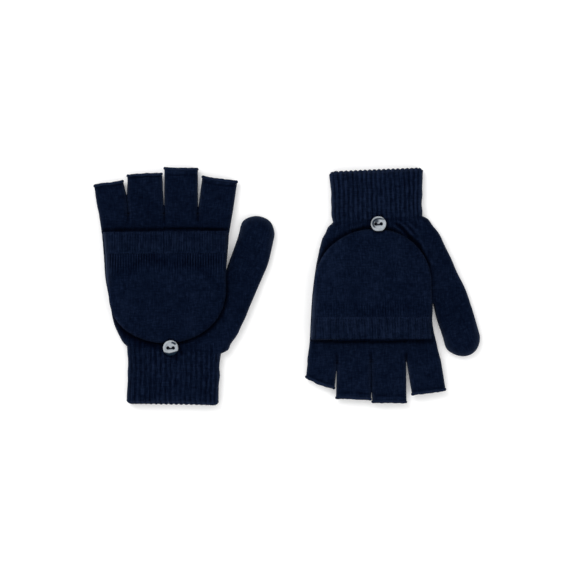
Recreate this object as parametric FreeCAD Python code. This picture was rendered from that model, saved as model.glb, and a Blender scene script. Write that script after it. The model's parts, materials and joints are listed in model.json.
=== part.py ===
"""A pair of knitted convertible flip-top mittens, laid flat with the backs of the hands up.

Each mitten is a fingerless glove with a closed thumb and a mitten cap.  The cap is a flat pocket sewn to the
back of the hand along the knuckles.  It is stored folded back over the hand, where a loop on its tip goes
round a button on the cuff, and it flips over about the knuckle seam to cover the finger stalls.

Units are millimetres.  Every mitten is drawn in its own frame: x points to the thumb, y from the cuff's
open edge to the fingers, z up from the surface it lies on.  The left mitten lies with its fingers to +Y.
The right one is its mirror image with the fingers to -Y.  The row's origin is under the middle of the pair.
"""

import FreeCAD
import Part

import math
import os

V = FreeCAD.Vector

# ---------------------------------------------------- knit thicknesses and heights above the table
WALL = 1.2                      # plain knit
RIB_WALL = 1.8                  # ribbed knit of the cuff
HAND_TOP = 9.6                  # the empty hand, lying flat
CUFF_TOP = 8.8
THUMB_TOP = 7.8
STALL_LOW, STALL_TOP = 1.6, 8.2  # finger stalls and the knuckles, lifted a little by the hand
CAP_LOW = 9.9                   # underside of the folded cap, just clear of the hand
CAP_JOIN = CAP_LOW + WALL       # where the cap's two layers meet along its rim
CAP_TOP = 16.7
BAND_EXTRA = 0.4                # the ribbed band stands this much prouder than the plain cap

# ---------------------------------------------------------------- plan dimensions shared by both mittens
CUFF_HALF = 36.0
MOUTH_TO_HINGE = 1.2            # the cap's open edge reaches this far past the knuckle seam it flips about
MOUTH_TO_HAND = 2.8             # and this far past the end of the hand proper
KNUCKLE_END = 148.0             # the finger stalls branch off here
HINGE_Z = 10.05
HINGE_GAP = 0.4
HINGE_THREAD_R = 0.35
BAND_HEIGHT = 17.0

HAND_LEFT_SIDE = [(-43.8, 55.6), (-48.2, 70.0), (-52.4, 98.0)]
HAND_END_LEFT, HAND_END_RIGHT = -55.6, 42.5
THUMB_CROTCH = (41.3, 104.2)
THUMB_TILT = 17.0               # degrees outwards from the fingers' direction
THUMB_WIDTH = 27.7
THUMB_STRAIGHT = 34.0           # from the crotch line to the centre of the round tip
THUMB_GAP = 5.6                 # soft crease between hand and thumb
GUSSET_MIDDLE = (57.2, 71.0)
SIDE_ROUND = 3.4

# ---------------------------------------------------------------- button and loop
BUTTON_R, BUTTON_THICK = 6.35, 2.2
BUTTON_LOW = 12.8
BUTTON_HOLE_R, BUTTON_HOLE_APART = 0.8, 3.4
BUTTON_DISH_R, BUTTON_DISH_DEEP = 4.4, 0.5
SHANK_R = 1.1
TILT_Z = BUTTON_LOW - 0.05 - SHANK_R    # centre of the shank's domed top, which the button tips about
LOOP_CORD_R = 0.6
LOOP_HALF = 3.2
LOOP_REACH = 6.4                # from the cap's tip to the centre of the loop's round end
EDGE_CORD_R, EDGE_CLEAR = 0.9, 0.06  # curled cast-off edge of a stall, and its distance from the stall
CUFF_EDGE = 1.4

# ---------------------------------------------------------------- what differs between the two as they lie
# a stall is (base left x, base right x, left end of its opening, right end of its opening)
LEFT = {
    "name": "left", "origin": (-88.5, -91.3), "turn": 0.0, "mirrored": False,
    "cuff_left": 44.0, "cuff_right": 38.2, "cuff_skew": 0.6, "button": (-2.0, 42.8),
    "cap_left": -50.0, "cap_left_mouth": -54.3, "cap_right": 40.9, "cap_mouth": 133.8,
    "cap_tip": (-6.0, 46.8), "cap_corners": (34.0, 40.0), "cap_end_r": 54.0,
    "stalls": {
        "little": (-56.9, -35.5, (-61.6, 168.0), (-39.2, 172.6)),
        "ring": (-35.1, -7.5, (-36.0, 176.6), (-8.8, 177.8)),
        "middle": (-7.1, 18.7, (-7.2, 182.4), (19.0, 182.2)),
        "index": (19.1, 45.6, (22.4, 176.4), (49.4, 172.6)),
    },
}
RIGHT = {
    "name": "right", "origin": (69.4, 88.9), "turn": 1.8, "mirrored": True,
    "cuff_left": 38.0, "cuff_right": 35.0, "cuff_skew": 0.4, "button": (0.2, 41.0),
    "cap_left": -50.6, "cap_left_mouth": -55.0, "cap_right": 39.9, "cap_mouth": 130.2,
    "cap_tip": (-4.0, 44.6), "cap_corners": (44.0, 42.0), "cap_end_r": 58.0,
    "stalls": {
        "little": (-56.9, -35.5, (-59.4, 157.0), (-37.8, 166.6)),
        "ring": (-35.1, -8.9, (-35.9, 174.6), (-9.5, 176.6)),
        "middle": (-8.6, 18.3, (-8.9, 178.8), (17.9, 179.8)),
        "index": (19.1, 45.6, (22.2, 174.0), (48.6, 170.4)),
    },
}


# ---------------------------------------------------------------- helpers
def along(p, q, t):
    """The plan point a share t of the way from p to q, or past q for t over 1."""
    return (p[0] + (q[0] - p[0]) * t, p[1] + (q[1] - p[1]) * t)


def line(p, q):
    return Part.makeLine(V(*p), V(*q))


def arc(p, through, q):
    return Part.Arc(V(*p), V(*through), V(*q)).toShape()


def flat_section(left, right, low, high):
    """A flattened ring, seen along the tube: straight above and below, half round at its two sides."""
    r, middle = (high - low) / 2, (high + low) / 2
    a, b = V(*left, 0), V(*right, 0)
    d = (b - a).normalize()
    a_in, b_in, up = a + d * r, b - d * r, V(0, 0, 1)
    ends = (a_in, low), (b_in, low), (b, middle), (b_in, high), (a_in, high), (a, middle)
    at = [p + up * z for p, z in ends]
    return Part.Wire([
        Part.makeLine(at[0], at[1]),
        Part.Arc(at[1], at[2], at[3]).toShape(),
        Part.makeLine(at[3], at[4]),
        Part.Arc(at[4], at[5], at[0]).toShape(),
    ])


def flat_bar(start, end, low, high):
    """A solid flattened bar between two sections, each given by its left and right plan points."""
    return Part.makeLoft([flat_section(*start, low, high), flat_section(*end, low, high)], True, True)


def inset_section(section, by):
    left, right = section
    width = math.hypot(right[0] - left[0], right[1] - left[1])
    return along(left, right, by / width), along(right, left, by / width)


def stretch(start, end, t):
    return along(start[0], end[0], t), along(start[1], end[1], t)


def flat_bore(start, end, low, high, wall, t0=-0.2, t1=1.2):
    """What a hollow flat tube of that wall leaves open, run past both ends."""
    a, b = inset_section(start, wall), inset_section(end, wall)
    return flat_bar(stretch(a, b, t0), stretch(a, b, t1), low + wall, high - wall)


def flat_tube(start, end, low, high, wall):
    return flat_bar(start, end, low, high).cut(flat_bore(start, end, low, high, wall))


def slab(wire, low, high):
    """A plan outline drawn at height 0, made solid from low to high."""
    solid = Part.Face(wire).extrude(V(0, 0, high - low))
    solid.translate(V(0, 0, low))
    return solid


def round_rim(solid, z, radius, keep):
    """Rounds the outline's edges at height z, apart from those whose middle keep() says to leave."""
    edges = []
    for e in solid.Edges:
        middle = e.valueAt((e.FirstParameter + e.LastParameter) / 2)
        ends = [v.Point.z for v in e.Vertexes]
        if max(abs(h - z) for h in ends + [middle.z]) < 1e-6 and not keep(middle):
            edges.append(e)
    return solid.makeFillet(radius, edges)


def cord_along(wire, radius):
    """A round cord along a wire."""
    start = wire.OrderedVertexes[0].Point
    edge = wire.OrderedEdges[0]
    direction = edge.tangentAt(edge.FirstParameter)
    profile = Part.Wire(Part.makeCircle(radius, start, direction))
    return wire.makePipeShell([profile], True, False, 2)


def box_between(low, high):
    return Part.makeBox(*[h - l for l, h in zip(low, high)], V(*low))


# ---------------------------------------------------------------- cuff
def cuff_sections(m):
    half, skew = CUFF_HALF, m["cuff_skew"]
    open_end = (-half, skew), (half, -skew)
    hand_end = (-half, m["cuff_left"]), (half, m["cuff_right"])
    return open_end, hand_end


def cuff(m):
    return flat_tube(*cuff_sections(m), 0.0, CUFF_TOP, RIB_WALL)


def cuff_edge(m):
    """The cast-on welt that finishes the wrist opening."""
    (left, right), _ = cuff_sections(m)
    outer = ((left[0], left[1] - CUFF_EDGE), (right[0], right[1] - CUFF_EDGE))
    return flat_tube(outer, (left, right), 0.0, CUFF_TOP, RIB_WALL)


# ---------------------------------------------------------------- hand
def thumb_axes():
    """The thumb's direction, and the direction of its crotch line, in plan."""
    a = math.radians(THUMB_TILT)
    return V(math.sin(a), math.cos(a), 0), V(math.cos(a), -math.sin(a), 0)


def thumb_line(distance, inset=0.0):
    """The thumb's section a distance along it from the crotch line, as left and right plan points."""
    u, across = thumb_axes()
    left = V(*THUMB_CROTCH, 0) + u * distance + across * inset
    right = left + across * (THUMB_WIDTH - 2 * inset)
    return (left.x, left.y), (right.x, right.y)


def hand_end(m):
    y = m["cap_mouth"] - MOUTH_TO_HAND
    return (HAND_END_LEFT, y), (HAND_END_RIGHT, y)


def hinge_y(m):
    return m["cap_mouth"] - MOUTH_TO_HINGE


def hand_outline(m):
    _, (cuff_left, cuff_right) = cuff_sections(m)
    crotch, outer = thumb_line(0.0)
    p1, p2, p3 = HAND_LEFT_SIDE
    p4, p5 = hand_end(m)
    return Part.Wire([
        arc((*cuff_left, 0), (*p1, 0), (*p2, 0)),
        arc((*p2, 0), (*p3, 0), (*p4, 0)),
        line((*p4, 0), (*p5, 0)),
        line((*p5, 0), (*crotch, 0)),
        line((*crotch, 0), (*outer, 0)),
        arc((*outer, 0), (*GUSSET_MIDDLE, 0), (*cuff_right, 0)),
        line((*cuff_right, 0), (*cuff_left, 0)),
    ])


def near_line(p, ends, reach=0.3):
    """True if plan point p lies on the line through two plan points, between them."""
    a, b = V(*ends[0], 0), V(*ends[1], 0)
    q = V(p.x, p.y, 0)
    d = (b - a).normalize()
    t = (q - a).dot(d)
    return -reach < t < (b - a).Length + reach and (q - a - d * t).Length < reach


def hand_ends(m):
    return [cuff_sections(m)[1], hand_end(m), thumb_line(0.0)]


def knuckle_sections(m):
    stalls = m["stalls"]
    base = (stalls["little"][0], KNUCKLE_END), (stalls["index"][1], KNUCKLE_END)
    return hand_end(m), base


def hand_shells(m):
    """The back and palm of the hand, two trays that meet half way up, open to cuff, thumb and fingers."""
    outline = hand_outline(m)
    inner = outline.makeOffset2D(-WALL, 2)
    if inner.BoundBox.XLength > outline.BoundBox.XLength:
        inner = outline.makeOffset2D(WALL, 2)
    middle = HAND_TOP / 2
    ends = hand_ends(m)

    def is_end(p):
        return any(near_line(p, e) for e in ends)

    doors = [
        flat_bore(*cuff_sections(m), 0.0, CUFF_TOP, RIB_WALL, 0.9, 1.25),
        flat_bore(*knuckle_sections(m), STALL_LOW, STALL_TOP, WALL, -0.4, 0.2),
        flat_bore(thumb_line(-6.0), thumb_line(6.0), 0.0, THUMB_TOP, WALL, 0.0, 1.0),
    ]
    palm = round_rim(slab(outline, 0.0, middle), 0.0, SIDE_ROUND, is_end)
    back = round_rim(slab(outline, middle, HAND_TOP), HAND_TOP, SIDE_ROUND, is_end)
    palm = palm.cut(slab(inner, WALL, middle + 1.0))
    back = back.cut(slab(inner, middle - 1.0, HAND_TOP - WALL))
    for door in doors:
        palm, back = palm.cut(door), back.cut(door)
    return palm, back


def knuckles(m):
    """The band of knit above the seam, with an end wall that opens into the four stalls."""
    start, end = knuckle_sections(m)
    solid = flat_bar(start, end, STALL_LOW, STALL_TOP)
    depth = 1 - WALL / (KNUCKLE_END - start[0][1])
    solid = solid.cut(flat_bore(start, end, STALL_LOW, STALL_TOP, WALL, -0.2, depth))
    for name in m["stalls"]:
        solid = solid.cut(flat_bore(*stall_sections(m, name), STALL_LOW, STALL_TOP, WALL, -0.15, 0.1))
    return solid


# ---------------------------------------------------------------- finger stalls
def stall_sections(m, name):
    base_left, base_right, top_left, top_right = m["stalls"][name]
    return ((base_left, KNUCKLE_END), (base_right, KNUCKLE_END)), (top_left, top_right)


def stall(m, name):
    return flat_tube(*stall_sections(m, name), STALL_LOW, STALL_TOP, WALL)


def stall_edge(m, name):
    """The cast-off edge, which curls over into a thin roll round the opening."""
    start, end = stall_sections(m, name)
    length = min(math.hypot(q[0] - p[0], q[1] - p[1]) for p, q in zip(start, end))
    past = stretch(start, end, 1 + EDGE_CORD_R / length)
    radius = EDGE_CORD_R - EDGE_CLEAR
    inset = WALL - radius           # so that the roll stands proud outside and leaves the opening as wide
    path = flat_section(*inset_section(past, inset), STALL_LOW + inset, STALL_TOP - inset)
    return cord_along(path, radius)


# ---------------------------------------------------------------- thumb
def thumb_outline(start, inset):
    """From a distance along the thumb to its round tip."""
    left, right = thumb_line(start, inset)
    tip_left, tip_right = thumb_line(THUMB_STRAIGHT, inset)
    u, _ = thumb_axes()
    centre = V(*along(tip_left, tip_right, 0.5), 0)
    tip = centre + u * (THUMB_WIDTH / 2 - inset)
    return Part.Wire([
        line((*left, 0), (*tip_left, 0)),
        arc((*tip_left, 0), (tip.x, tip.y, 0), (*tip_right, 0)),
        line((*tip_right, 0), (*right, 0)),
        line((*right, 0), (*left, 0)),
    ])


def thumb(m):
    base = thumb_line(THUMB_GAP)
    solid = slab(thumb_outline(THUMB_GAP, 0.0), 0.0, THUMB_TOP)
    for z in (0.0, THUMB_TOP):
        solid = round_rim(solid, z, SIDE_ROUND, lambda p: near_line(p, base))
    hollow = slab(thumb_outline(THUMB_GAP - 2.0, WALL), WALL, THUMB_TOP - WALL)
    inner_base = thumb_line(THUMB_GAP - 2.0, WALL)
    for z in (WALL, THUMB_TOP - WALL):
        hollow = round_rim(hollow, z, SIDE_ROUND - WALL, lambda p: near_line(p, inner_base))
    return solid.cut(hollow)


def thumb_crease(m):
    """The soft ring of knit that folds when the thumb does."""
    return flat_tube(thumb_line(0.0), thumb_line(THUMB_GAP), 0.2, THUMB_TOP - 0.2, WALL)


# ---------------------------------------------------------------- cap
def cap_outline(m, z, side=0.0, tip=0.0, top=0.0):
    """The cap's plan at height z: straight sides, then two corner arcs and a flat end arc, all tangent.

    side insets the sides and radii, and tip insets the round end.
    """
    left, right = m["cap_left"] + side, m["cap_right"] - side
    r_left, r_right = (r - side for r in m["cap_corners"])
    r_end = m["cap_end_r"] - side
    tip_x, tip_y = m["cap_tip"][0], m["cap_tip"][1] + tip
    end_y = tip_y + r_end

    def corner(cx, r):
        """Height of a corner's centre, and where it meets the end arc."""
        reach = r_end - r
        cy = end_y - math.sqrt(reach ** 2 - (cx - tip_x) ** 2)
        share = r_end / reach
        return cy, (tip_x + (cx - tip_x) * share, end_y + (cy - end_y) * share)

    lx, rx = left + r_left, right - r_right
    ly, left_meet = corner(lx, r_left)
    ry, right_meet = corner(rx, r_right)

    def on_circle(cx, cy, r, degrees):
        a = math.radians(degrees)
        return (cx + r * math.cos(a), cy + r * math.sin(a), z)

    def half_way(cx, cy, meet, start):
        end = math.degrees(math.atan2(meet[1] - cy, meet[0] - cx)) % 360
        return (start + end) / 2

    lean = (m["cap_left_mouth"] - m["cap_left"]) / (m["cap_mouth"] - ly)
    top_left = left + lean * (top - ly)
    return Part.Wire([
        line((right, top, z), (top_left, top, z)),
        line((top_left, top, z), (left, ly, z)),
        arc((left, ly, z), on_circle(lx, ly, r_left, half_way(lx, ly, left_meet, 180)), (*left_meet, z)),
        arc((*left_meet, z), (tip_x, tip_y, z), (*right_meet, z)),
        arc((*right_meet, z), on_circle(rx, ry, r_right, half_way(rx, ry, right_meet, 360)), (right, ry, z)),
        line((right, ry, z), (right, top, z)),
    ])


# the domed layer's profile: inset of the sides, inset of the tip, height
CAP_OUTSIDE = [(0.0, 0.0, CAP_JOIN), (0.3, 0.3, 12.0), (0.9, 3.4, 12.5), (2.8, 7.0, 15.0),
               (6.5, 12.0, 16.3), (13.0, 20.0, CAP_TOP)]
CAP_INSIDE = [(2.0, 2.0, CAP_JOIN - 0.5), (2.0, 2.4, CAP_JOIN + 0.05), (2.4, 5.2, CAP_JOIN + 0.3),
              (4.2, 8.8, 13.8), (8.0, 14.0, 15.1), (14.5, 22.0, CAP_TOP - WALL)]


def cap_dome(m, levels, top, lift=0.0):
    wires = []
    for n, (side, tip, z) in enumerate(levels):
        wires.append(cap_outline(m, z + lift * n / (len(levels) - 1), side, tip, top))
    return Part.makeLoft(wires, True, True)


def cap_slice(solid, low, high):
    return solid.common(box_between((-90, low, -5), (90, high, 40)))


def cap_back_panel(m):
    """The layer that lies on the hand, and covers the back of the fingers when the cap is flipped over."""
    return slab(cap_outline(m, 0.0, top=hinge_y(m) - HINGE_GAP), CAP_LOW, CAP_JOIN)


def cap_palm_panel(m):
    past = m["cap_mouth"] + 8
    shell = cap_dome(m, CAP_OUTSIDE, past).cut(cap_dome(m, CAP_INSIDE, past + 5))
    return cap_slice(shell, 0, m["cap_mouth"] - BAND_HEIGHT)


def cap_rib_band(m):
    past = m["cap_mouth"] + 8
    shell = cap_dome(m, CAP_OUTSIDE, past, BAND_EXTRA).cut(cap_dome(m, CAP_INSIDE, past + 5))
    return cap_slice(shell, m["cap_mouth"] - BAND_HEIGHT, m["cap_mouth"])


def cap_span(m, inset):
    return m["cap_left_mouth"] + inset, m["cap_right"] - inset


def cap_seam(m):
    """The ridge of linked stitches that holds the cap to the back of the hand."""
    x0, x1 = cap_span(m, 1.0)
    y0, y1 = hand_end(m)[0][1], hinge_y(m) - HINGE_THREAD_R - 0.1
    return box_between((x0, y0, STALL_TOP), (x1, y1, HAND_TOP))


def cap_hinge_thread(m):
    """The linking thread that the cap turns on."""
    x0, x1 = cap_span(m, 2.0)
    return Part.makeCylinder(HINGE_THREAD_R, x1 - x0, V(x0, hinge_y(m), HINGE_Z), V(1, 0, 0))


def button_loop(m):
    """A U of elastic cord from the cap's tip round the button's shank."""
    x = m["button"][0]
    root = m["cap_tip"][1] - 0.2
    turn = m["button"][1]
    z = CAP_LOW + LOOP_CORD_R
    path = Part.Wire([
        line((x - LOOP_HALF, root, z), (x - LOOP_HALF, turn, z)),
        arc((x - LOOP_HALF, turn, z), (x, turn - LOOP_HALF, z), (x + LOOP_HALF, turn, z)),
        line((x + LOOP_HALF, turn, z), (x + LOOP_HALF, root, z)),
    ])
    return cord_along(path, LOOP_CORD_R)


# ---------------------------------------------------------------- button
def button(m):
    """A two-hole button with a shallow dish and rounded rim."""
    x, y = m["button"]
    top = BUTTON_LOW + BUTTON_THICK
    disc = Part.makeCylinder(BUTTON_R, BUTTON_THICK, V(x, y, BUTTON_LOW))
    disc = disc.makeFillet(0.7, [e for e in disc.Edges if abs(e.Length - 2 * math.pi * BUTTON_R) < 0.01])
    disc = disc.cut(Part.makeCylinder(BUTTON_DISH_R, BUTTON_THICK, V(x, y, top - BUTTON_DISH_DEEP)))
    for side in (-1, 1):
        hole_at = V(x + side * BUTTON_HOLE_APART / 2, y, BUTTON_LOW - 1)
        disc = disc.cut(Part.makeCylinder(BUTTON_HOLE_R, BUTTON_THICK + 2, hole_at))
    return disc


def button_thread(m):
    """The sewing thread: up one hole, across, and down the other."""
    x, y = m["button"]
    r = BUTTON_HOLE_R - 0.15
    floor = BUTTON_LOW + BUTTON_THICK - BUTTON_DISH_DEEP
    over = floor + 0.1 + r
    half = BUTTON_HOLE_APART / 2
    bar = Part.makeCylinder(r, 2 * half, V(x - half, y, over), V(1, 0, 0))
    for side in (-1, 1):
        bar = bar.fuse(Part.makeSphere(r, V(x + side * half, y, over)))
        bar = bar.fuse(Part.makeCylinder(r, over - BUTTON_LOW, V(x + side * half, y, BUTTON_LOW)))
    return bar.removeSplitter()


def button_shank(m):
    """The thread wound into a stem between cuff and button, with a domed top."""
    x, y = m["button"]
    stem = Part.makeCylinder(SHANK_R, TILT_Z - shank_foot(m), V(x, y, shank_foot(m)))
    return stem.fuse(Part.makeSphere(SHANK_R, V(x, y, TILT_Z))).removeSplitter()


def shank_foot(m):
    """The button stands over the top of the cuff or the start of the hand."""
    left, right = cuff_sections(m)[1]
    share = (m["button"][0] - left[0]) / (right[0] - left[0])
    seam = left[1] + (right[1] - left[1]) * share
    return HAND_TOP if m["button"][1] + SHANK_R > seam else CUFF_TOP


# ---------------------------------------------------------------- a whole mitten, and the pair
def mitten(m):
    palm, back = hand_shells(m)
    parts = {
        "cuff": cuff(m), "cuff_edge": cuff_edge(m), "hand_palm": palm, "hand_back": back,
        "knuckles": knuckles(m), "thumb": thumb(m), "thumb_crease": thumb_crease(m),
        "cap_seam": cap_seam(m), "cap_hinge_thread": cap_hinge_thread(m),
        "cap_back_panel": cap_back_panel(m), "cap_palm_panel": cap_palm_panel(m),
        "cap_rib_band": cap_rib_band(m),
        "button_loop": button_loop(m), "button": button(m), "button_thread": button_thread(m),
        "button_shank": button_shank(m),
    }
    for name in m["stalls"]:
        parts[name + "_stall"] = stall(m, name)
        parts[name + "_edge"] = stall_edge(m, name)
    return {m["name"] + "_" + name: place(m, shape) for name, shape in parts.items()}


def place(m, shape):
    """From a mitten's own frame to where it lies in the pair, before the pair is centred."""
    shape = shape.copy()
    if m["mirrored"]:
        shape.rotate(V(0, 0, 0), V(0, 0, 1), -m["turn"])
        shape = shape.mirror(V(0, 0, 0), V(0, 1, 0))
    shape.translate(V(*m["origin"], 0))
    return shape


def footprint_centre(parts):
    box = FreeCAD.BoundBox()
    for shape in parts.values():
        box.add(shape.optimalBoundingBox(False))
    return V(box.Center.x, box.Center.y, 0)


def solids_of(shape):
    """One solid, or a compound of several, with nothing else in it."""
    return shape.Solids[0] if len(shape.Solids) == 1 else Part.makeCompound(shape.Solids)


PARTS = {**mitten(LEFT), **mitten(RIGHT)}
CENTRE = footprint_centre(PARTS)

os.makedirs("parts", exist_ok=True)
for node, made in sorted(PARTS.items()):
    made = solids_of(made)
    made.translate(-CENTRE)
    if not made.isValid():
        print("not valid:", node)
    print(f"{node:28s} solids {len(made.Solids)}  volume {made.Volume:9.1f} mm3")
    made.exportStep(f"parts/{node}.step")
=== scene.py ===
"""The look of a pair of knitted flip-top mittens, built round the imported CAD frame.

Shapes are drawn in millimetres in each mitten's own frame (x to the thumb, y to the fingers, z up) and are put
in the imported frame, in metres, by Mitten.place().
"""

import json
import math

import bmesh
import bpy
import numpy as np
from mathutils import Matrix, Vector, noise
from mathutils.geometry import delaunay_2d_cdt


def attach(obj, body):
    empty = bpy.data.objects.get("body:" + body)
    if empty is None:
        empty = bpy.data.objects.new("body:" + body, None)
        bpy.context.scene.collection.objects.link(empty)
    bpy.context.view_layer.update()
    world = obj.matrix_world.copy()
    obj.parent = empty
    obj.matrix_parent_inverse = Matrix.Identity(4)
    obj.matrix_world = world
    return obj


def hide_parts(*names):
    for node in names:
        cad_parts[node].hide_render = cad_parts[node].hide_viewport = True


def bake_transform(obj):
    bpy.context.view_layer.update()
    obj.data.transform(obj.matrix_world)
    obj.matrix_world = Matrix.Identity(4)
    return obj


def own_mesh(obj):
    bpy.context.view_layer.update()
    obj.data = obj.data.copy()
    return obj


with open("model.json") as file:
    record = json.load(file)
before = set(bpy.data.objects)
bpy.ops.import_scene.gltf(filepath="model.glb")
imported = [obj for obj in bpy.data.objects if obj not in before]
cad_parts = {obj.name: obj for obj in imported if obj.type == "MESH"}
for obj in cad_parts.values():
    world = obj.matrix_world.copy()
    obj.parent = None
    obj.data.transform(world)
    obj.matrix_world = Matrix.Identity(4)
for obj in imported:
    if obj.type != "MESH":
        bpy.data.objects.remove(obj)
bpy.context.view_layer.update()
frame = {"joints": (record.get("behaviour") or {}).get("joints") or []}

MM = 0.001
JOINTS = {j["name"]: j for j in frame["joints"]}

# ---------------------------------------------------------------- heights above the table, in mm
HAND_MID, HAND_HALF = 4.8, 4.8
CUFF_MID, CUFF_HALF_HEIGHT = 4.4, 4.4
STALL_MID, STALL_HALF = 4.9, 3.3
THUMB_MID, THUMB_HALF = 3.9, 3.9
CAP_RIM, CAP_UNDER = 10.6, 0.65
CAP_RISE = 5.5
WALL, RIB_WALL = 1.1, 1.6       # thickness of the knit

# ---------------------------------------------------------------- plan dimensions, in mm
CUFF_HALF = 36.0
KNUCKLE_END = 148.0
MOUTH_TO_HINGE, MOUTH_TO_HAND = 1.2, 2.8
BAND_HEIGHT = 17.0
HAND_LEFT_SIDE = [(-43.8, 55.6), (-48.2, 70.0), (-52.4, 98.0)]
HAND_END_LEFT, HAND_END_RIGHT = -55.6, 42.5
THUMB_CROTCH = (40.9, 103.9)
THUMB_TILT = math.radians(17.0)
THUMB_WIDTH, THUMB_STRAIGHT, THUMB_GAP = 27.7, 34.0, 5.6
GUSSET_MIDDLE = (57.2, 71.0)

# painted shadow round the button on the knit
BUTTON_SHADOW = 6.3             # the knit is darkest up to here from the button's middle
BAND_PITCH = 2.0                # finer rib of the cap's band
WALE, COURSE = 1.25, 0.95       # one stitch of the plain knit
UNDERSIDE_LIFT = 1.7            # under the stalls, room for the cap when it is flipped
FOLD_ROWS = (0.12, 0.4, 0.8, 1.3, 1.9)  # how far from a fold the mesh has its rows
WIDE_FOLD_ROWS = (0.12, 0.45, 0.95, 1.6, 2.4)

LEFT = {
    "cuff_left": 44.0, "cuff_right": 38.2, "cuff_skew": 0.6, "cuff_ribs": 39, "button": (-2.0, 43.2),
    "cap_left": -50.0, "cap_left_mouth": -54.3, "cap_right": 40.9, "cap_mouth": 133.8, "mouth_slope": 0.009,
    "cap_tip": (-6.0, 46.8), "cap_corners": (34.0, 40.0), "cap_end_r": 54.0,
    "slits": (162.0, 153.6, 152.6), "shoulders": (0.5, 1.3), "rib_contrast": 0.095,
    # how much lighter than plain navy each piece is
    "tone": {"cuff": 0.03, "thumb": -0.03, "stalls": -0.04, "cap": 0.025, "band": 0.02},
    # the fold that shows through the cap below its band: x, y, strength
    "ridge": [(-52, 96, 0.9), (-45, 98, 1.0), (-38, 101, 0.7), (-30, 107, 0.7), (-22, 114, 1.2), (-9, 110, 1.0),
              (0, 109, 0.8), (9, 109, 1.0), (22, 105, 1.0), (31, 98, 0.9), (37, 90, 0.4)],
    # where the knit lies pulled out of its drawn shape: x, y, shift in x and y, reach in x and y
    "slack": [
        (41.5, 41.5, 1.3, 0, 6, 5), (55.5, 66, 0.8, 0, 8, 7), (53, 142, -0.7, 0.5, 6, 6), (75, 142, 0.6, 0.3, 6, 6),
        (-60, 150, -1.5, 0, 9, 14), (-53, 97, -0.8, 0, 10, 12), (48, 147, 0.5, 0, 8, 28), (74, 108, 2.2, 0, 14, 14),
        (58, 124, 0.9, 0, 18, 16), (78, 128, 0.6, 0, 8, 12), (48, 50, 2.8, 0, 10, 12), (-36, 27, 1.0, 0, 8, 9),
        (-37, 4, -0.5, 0, 8, 7), (35, 12, -0.9, 0, 8, 15), (35, 0, -0.7, 0, 7, 6), (-20, 177, 0, 0.9, 14, 10),
        (36, 174, 0, -0.7, 12, 9), (-58, 170, 0, 1.2, 9, 9),
    ],
    "stalls": {
        "little": (-56.9, -35.5, (-61.6, 168.0), (-39.2, 172.6)),
        "ring": (-35.1, -7.5, (-36.0, 176.6), (-8.8, 177.8)),
        "middle": (-7.1, 18.7, (-7.2, 182.4), (19.0, 182.2)),
        "index": (19.1, 45.6, (22.4, 176.4), (49.4, 172.6)),
    },
    "curls": (1.9, 1.5, 4.6, 3.8),  # how far below each stall's tip its curled edge ends
}
RIGHT = {
    "cuff_left": 38.0, "cuff_right": 35.0, "cuff_skew": 0.4, "cuff_ribs": 42, "button": (0.2, 40.8),
    "cap_left": -50.6, "cap_left_mouth": -55.0, "cap_right": 39.9, "cap_mouth": 130.2, "mouth_slope": 0.028,
    "cap_tip": (-4.0, 44.6), "cap_corners": (44.0, 42.0), "cap_end_r": 58.0,
    "slits": (153.6, 171.3, 148.0), "shoulders": (1.2, 1.5), "rib_contrast": 0.13,
    "tone": {"cuff": 0.11, "thumb": 0.0, "stalls": 0.04, "cap": 0.03, "band": 0.09},
    "ridge": [(-50, 104, 0.1), (-20, 107, 0.2), (0, 108, 0.7), (15, 106, 0.3), (38, 106, 0.8)],
    "slack": [
        (-37, 38.5, 1.2, 0, 6, 4), (-43.5, 49.5, -1.0, 0, 6, 4), (50, 140, -0.9, 0.6, 6, 6),
        (35, 24, -1.7, 0, 9, 13), (36, 37, -1.0, 0, 7, 4), (46, 49, 1.7, 0, 8, 9), (-36, 21, 0.8, 0, 8, 8),
        (-37, 1, -0.6, 0, 8, 7), (-45, 55, -1.2, 0, 9, 9), (-51, 88, -1.0, 0, 9, 32), (-59, 145, -1.7, 0, 9, 10),
        (55, 132, -2.1, 0, 22, 14), (75, 136, -0.5, 0, 8, 8), (44, 139, 0.9, 0, 7, 12), (40, 117, -1.4, 0, 9, 9),
        (61, 80, -1.0, 0, 8, 10), (-50, 163, 0, 1.9, 12, 10), (42, 170, 0, 0.8, 12, 8), (0, 0, 0, -0.9, 60, 14),
    ],
    "stalls": {
        "little": (-56.9, -35.5, (-59.4, 157.0), (-37.8, 166.6)),
        "ring": (-35.1, -8.9, (-37.0, 174.6), (-9.5, 176.6)),
        "middle": (-8.6, 18.3, (-8.9, 178.8), (17.9, 179.8)),
        "index": (19.1, 45.6, (22.2, 174.0), (48.6, 170.4)),
    },
    "curls": (1.9, 3.9, 4.8, 2.4),
}


# ---------------------------------------------------------------- plane geometry
def smooth(t):
    t = np.clip(t, 0, 1)
    return t * t * (3 - 2 * t)


def bell(t):
    """1 at 0, and nearly nothing from 2 on either side."""
    return np.exp(-np.square(t))


def pillow(d, radius):
    """0 at a fold and 1 from radius inwards, upright at the fold."""
    t = np.clip(np.asarray(d) / radius, 0, 1)
    return (1 - (1 - t) ** 2) ** 0.5


def strip_faces(rows, columns, points_in_row):
    """The quads of a grid of points. With as many columns as points in a row, it closes on itself."""
    n = points_in_row
    return [(j * n + k, j * n + (k + 1) % n, (j + 1) * n + (k + 1) % n, (j + 1) * n + k)
            for j in range(rows) for k in range(columns)]


def straight(p, q, step):
    n = max(1, round(math.dist(p, q) / step))
    t = np.linspace(0, 1, n + 1)[:, None]
    return np.array(p) * (1 - t) + np.array(q) * t


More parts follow.
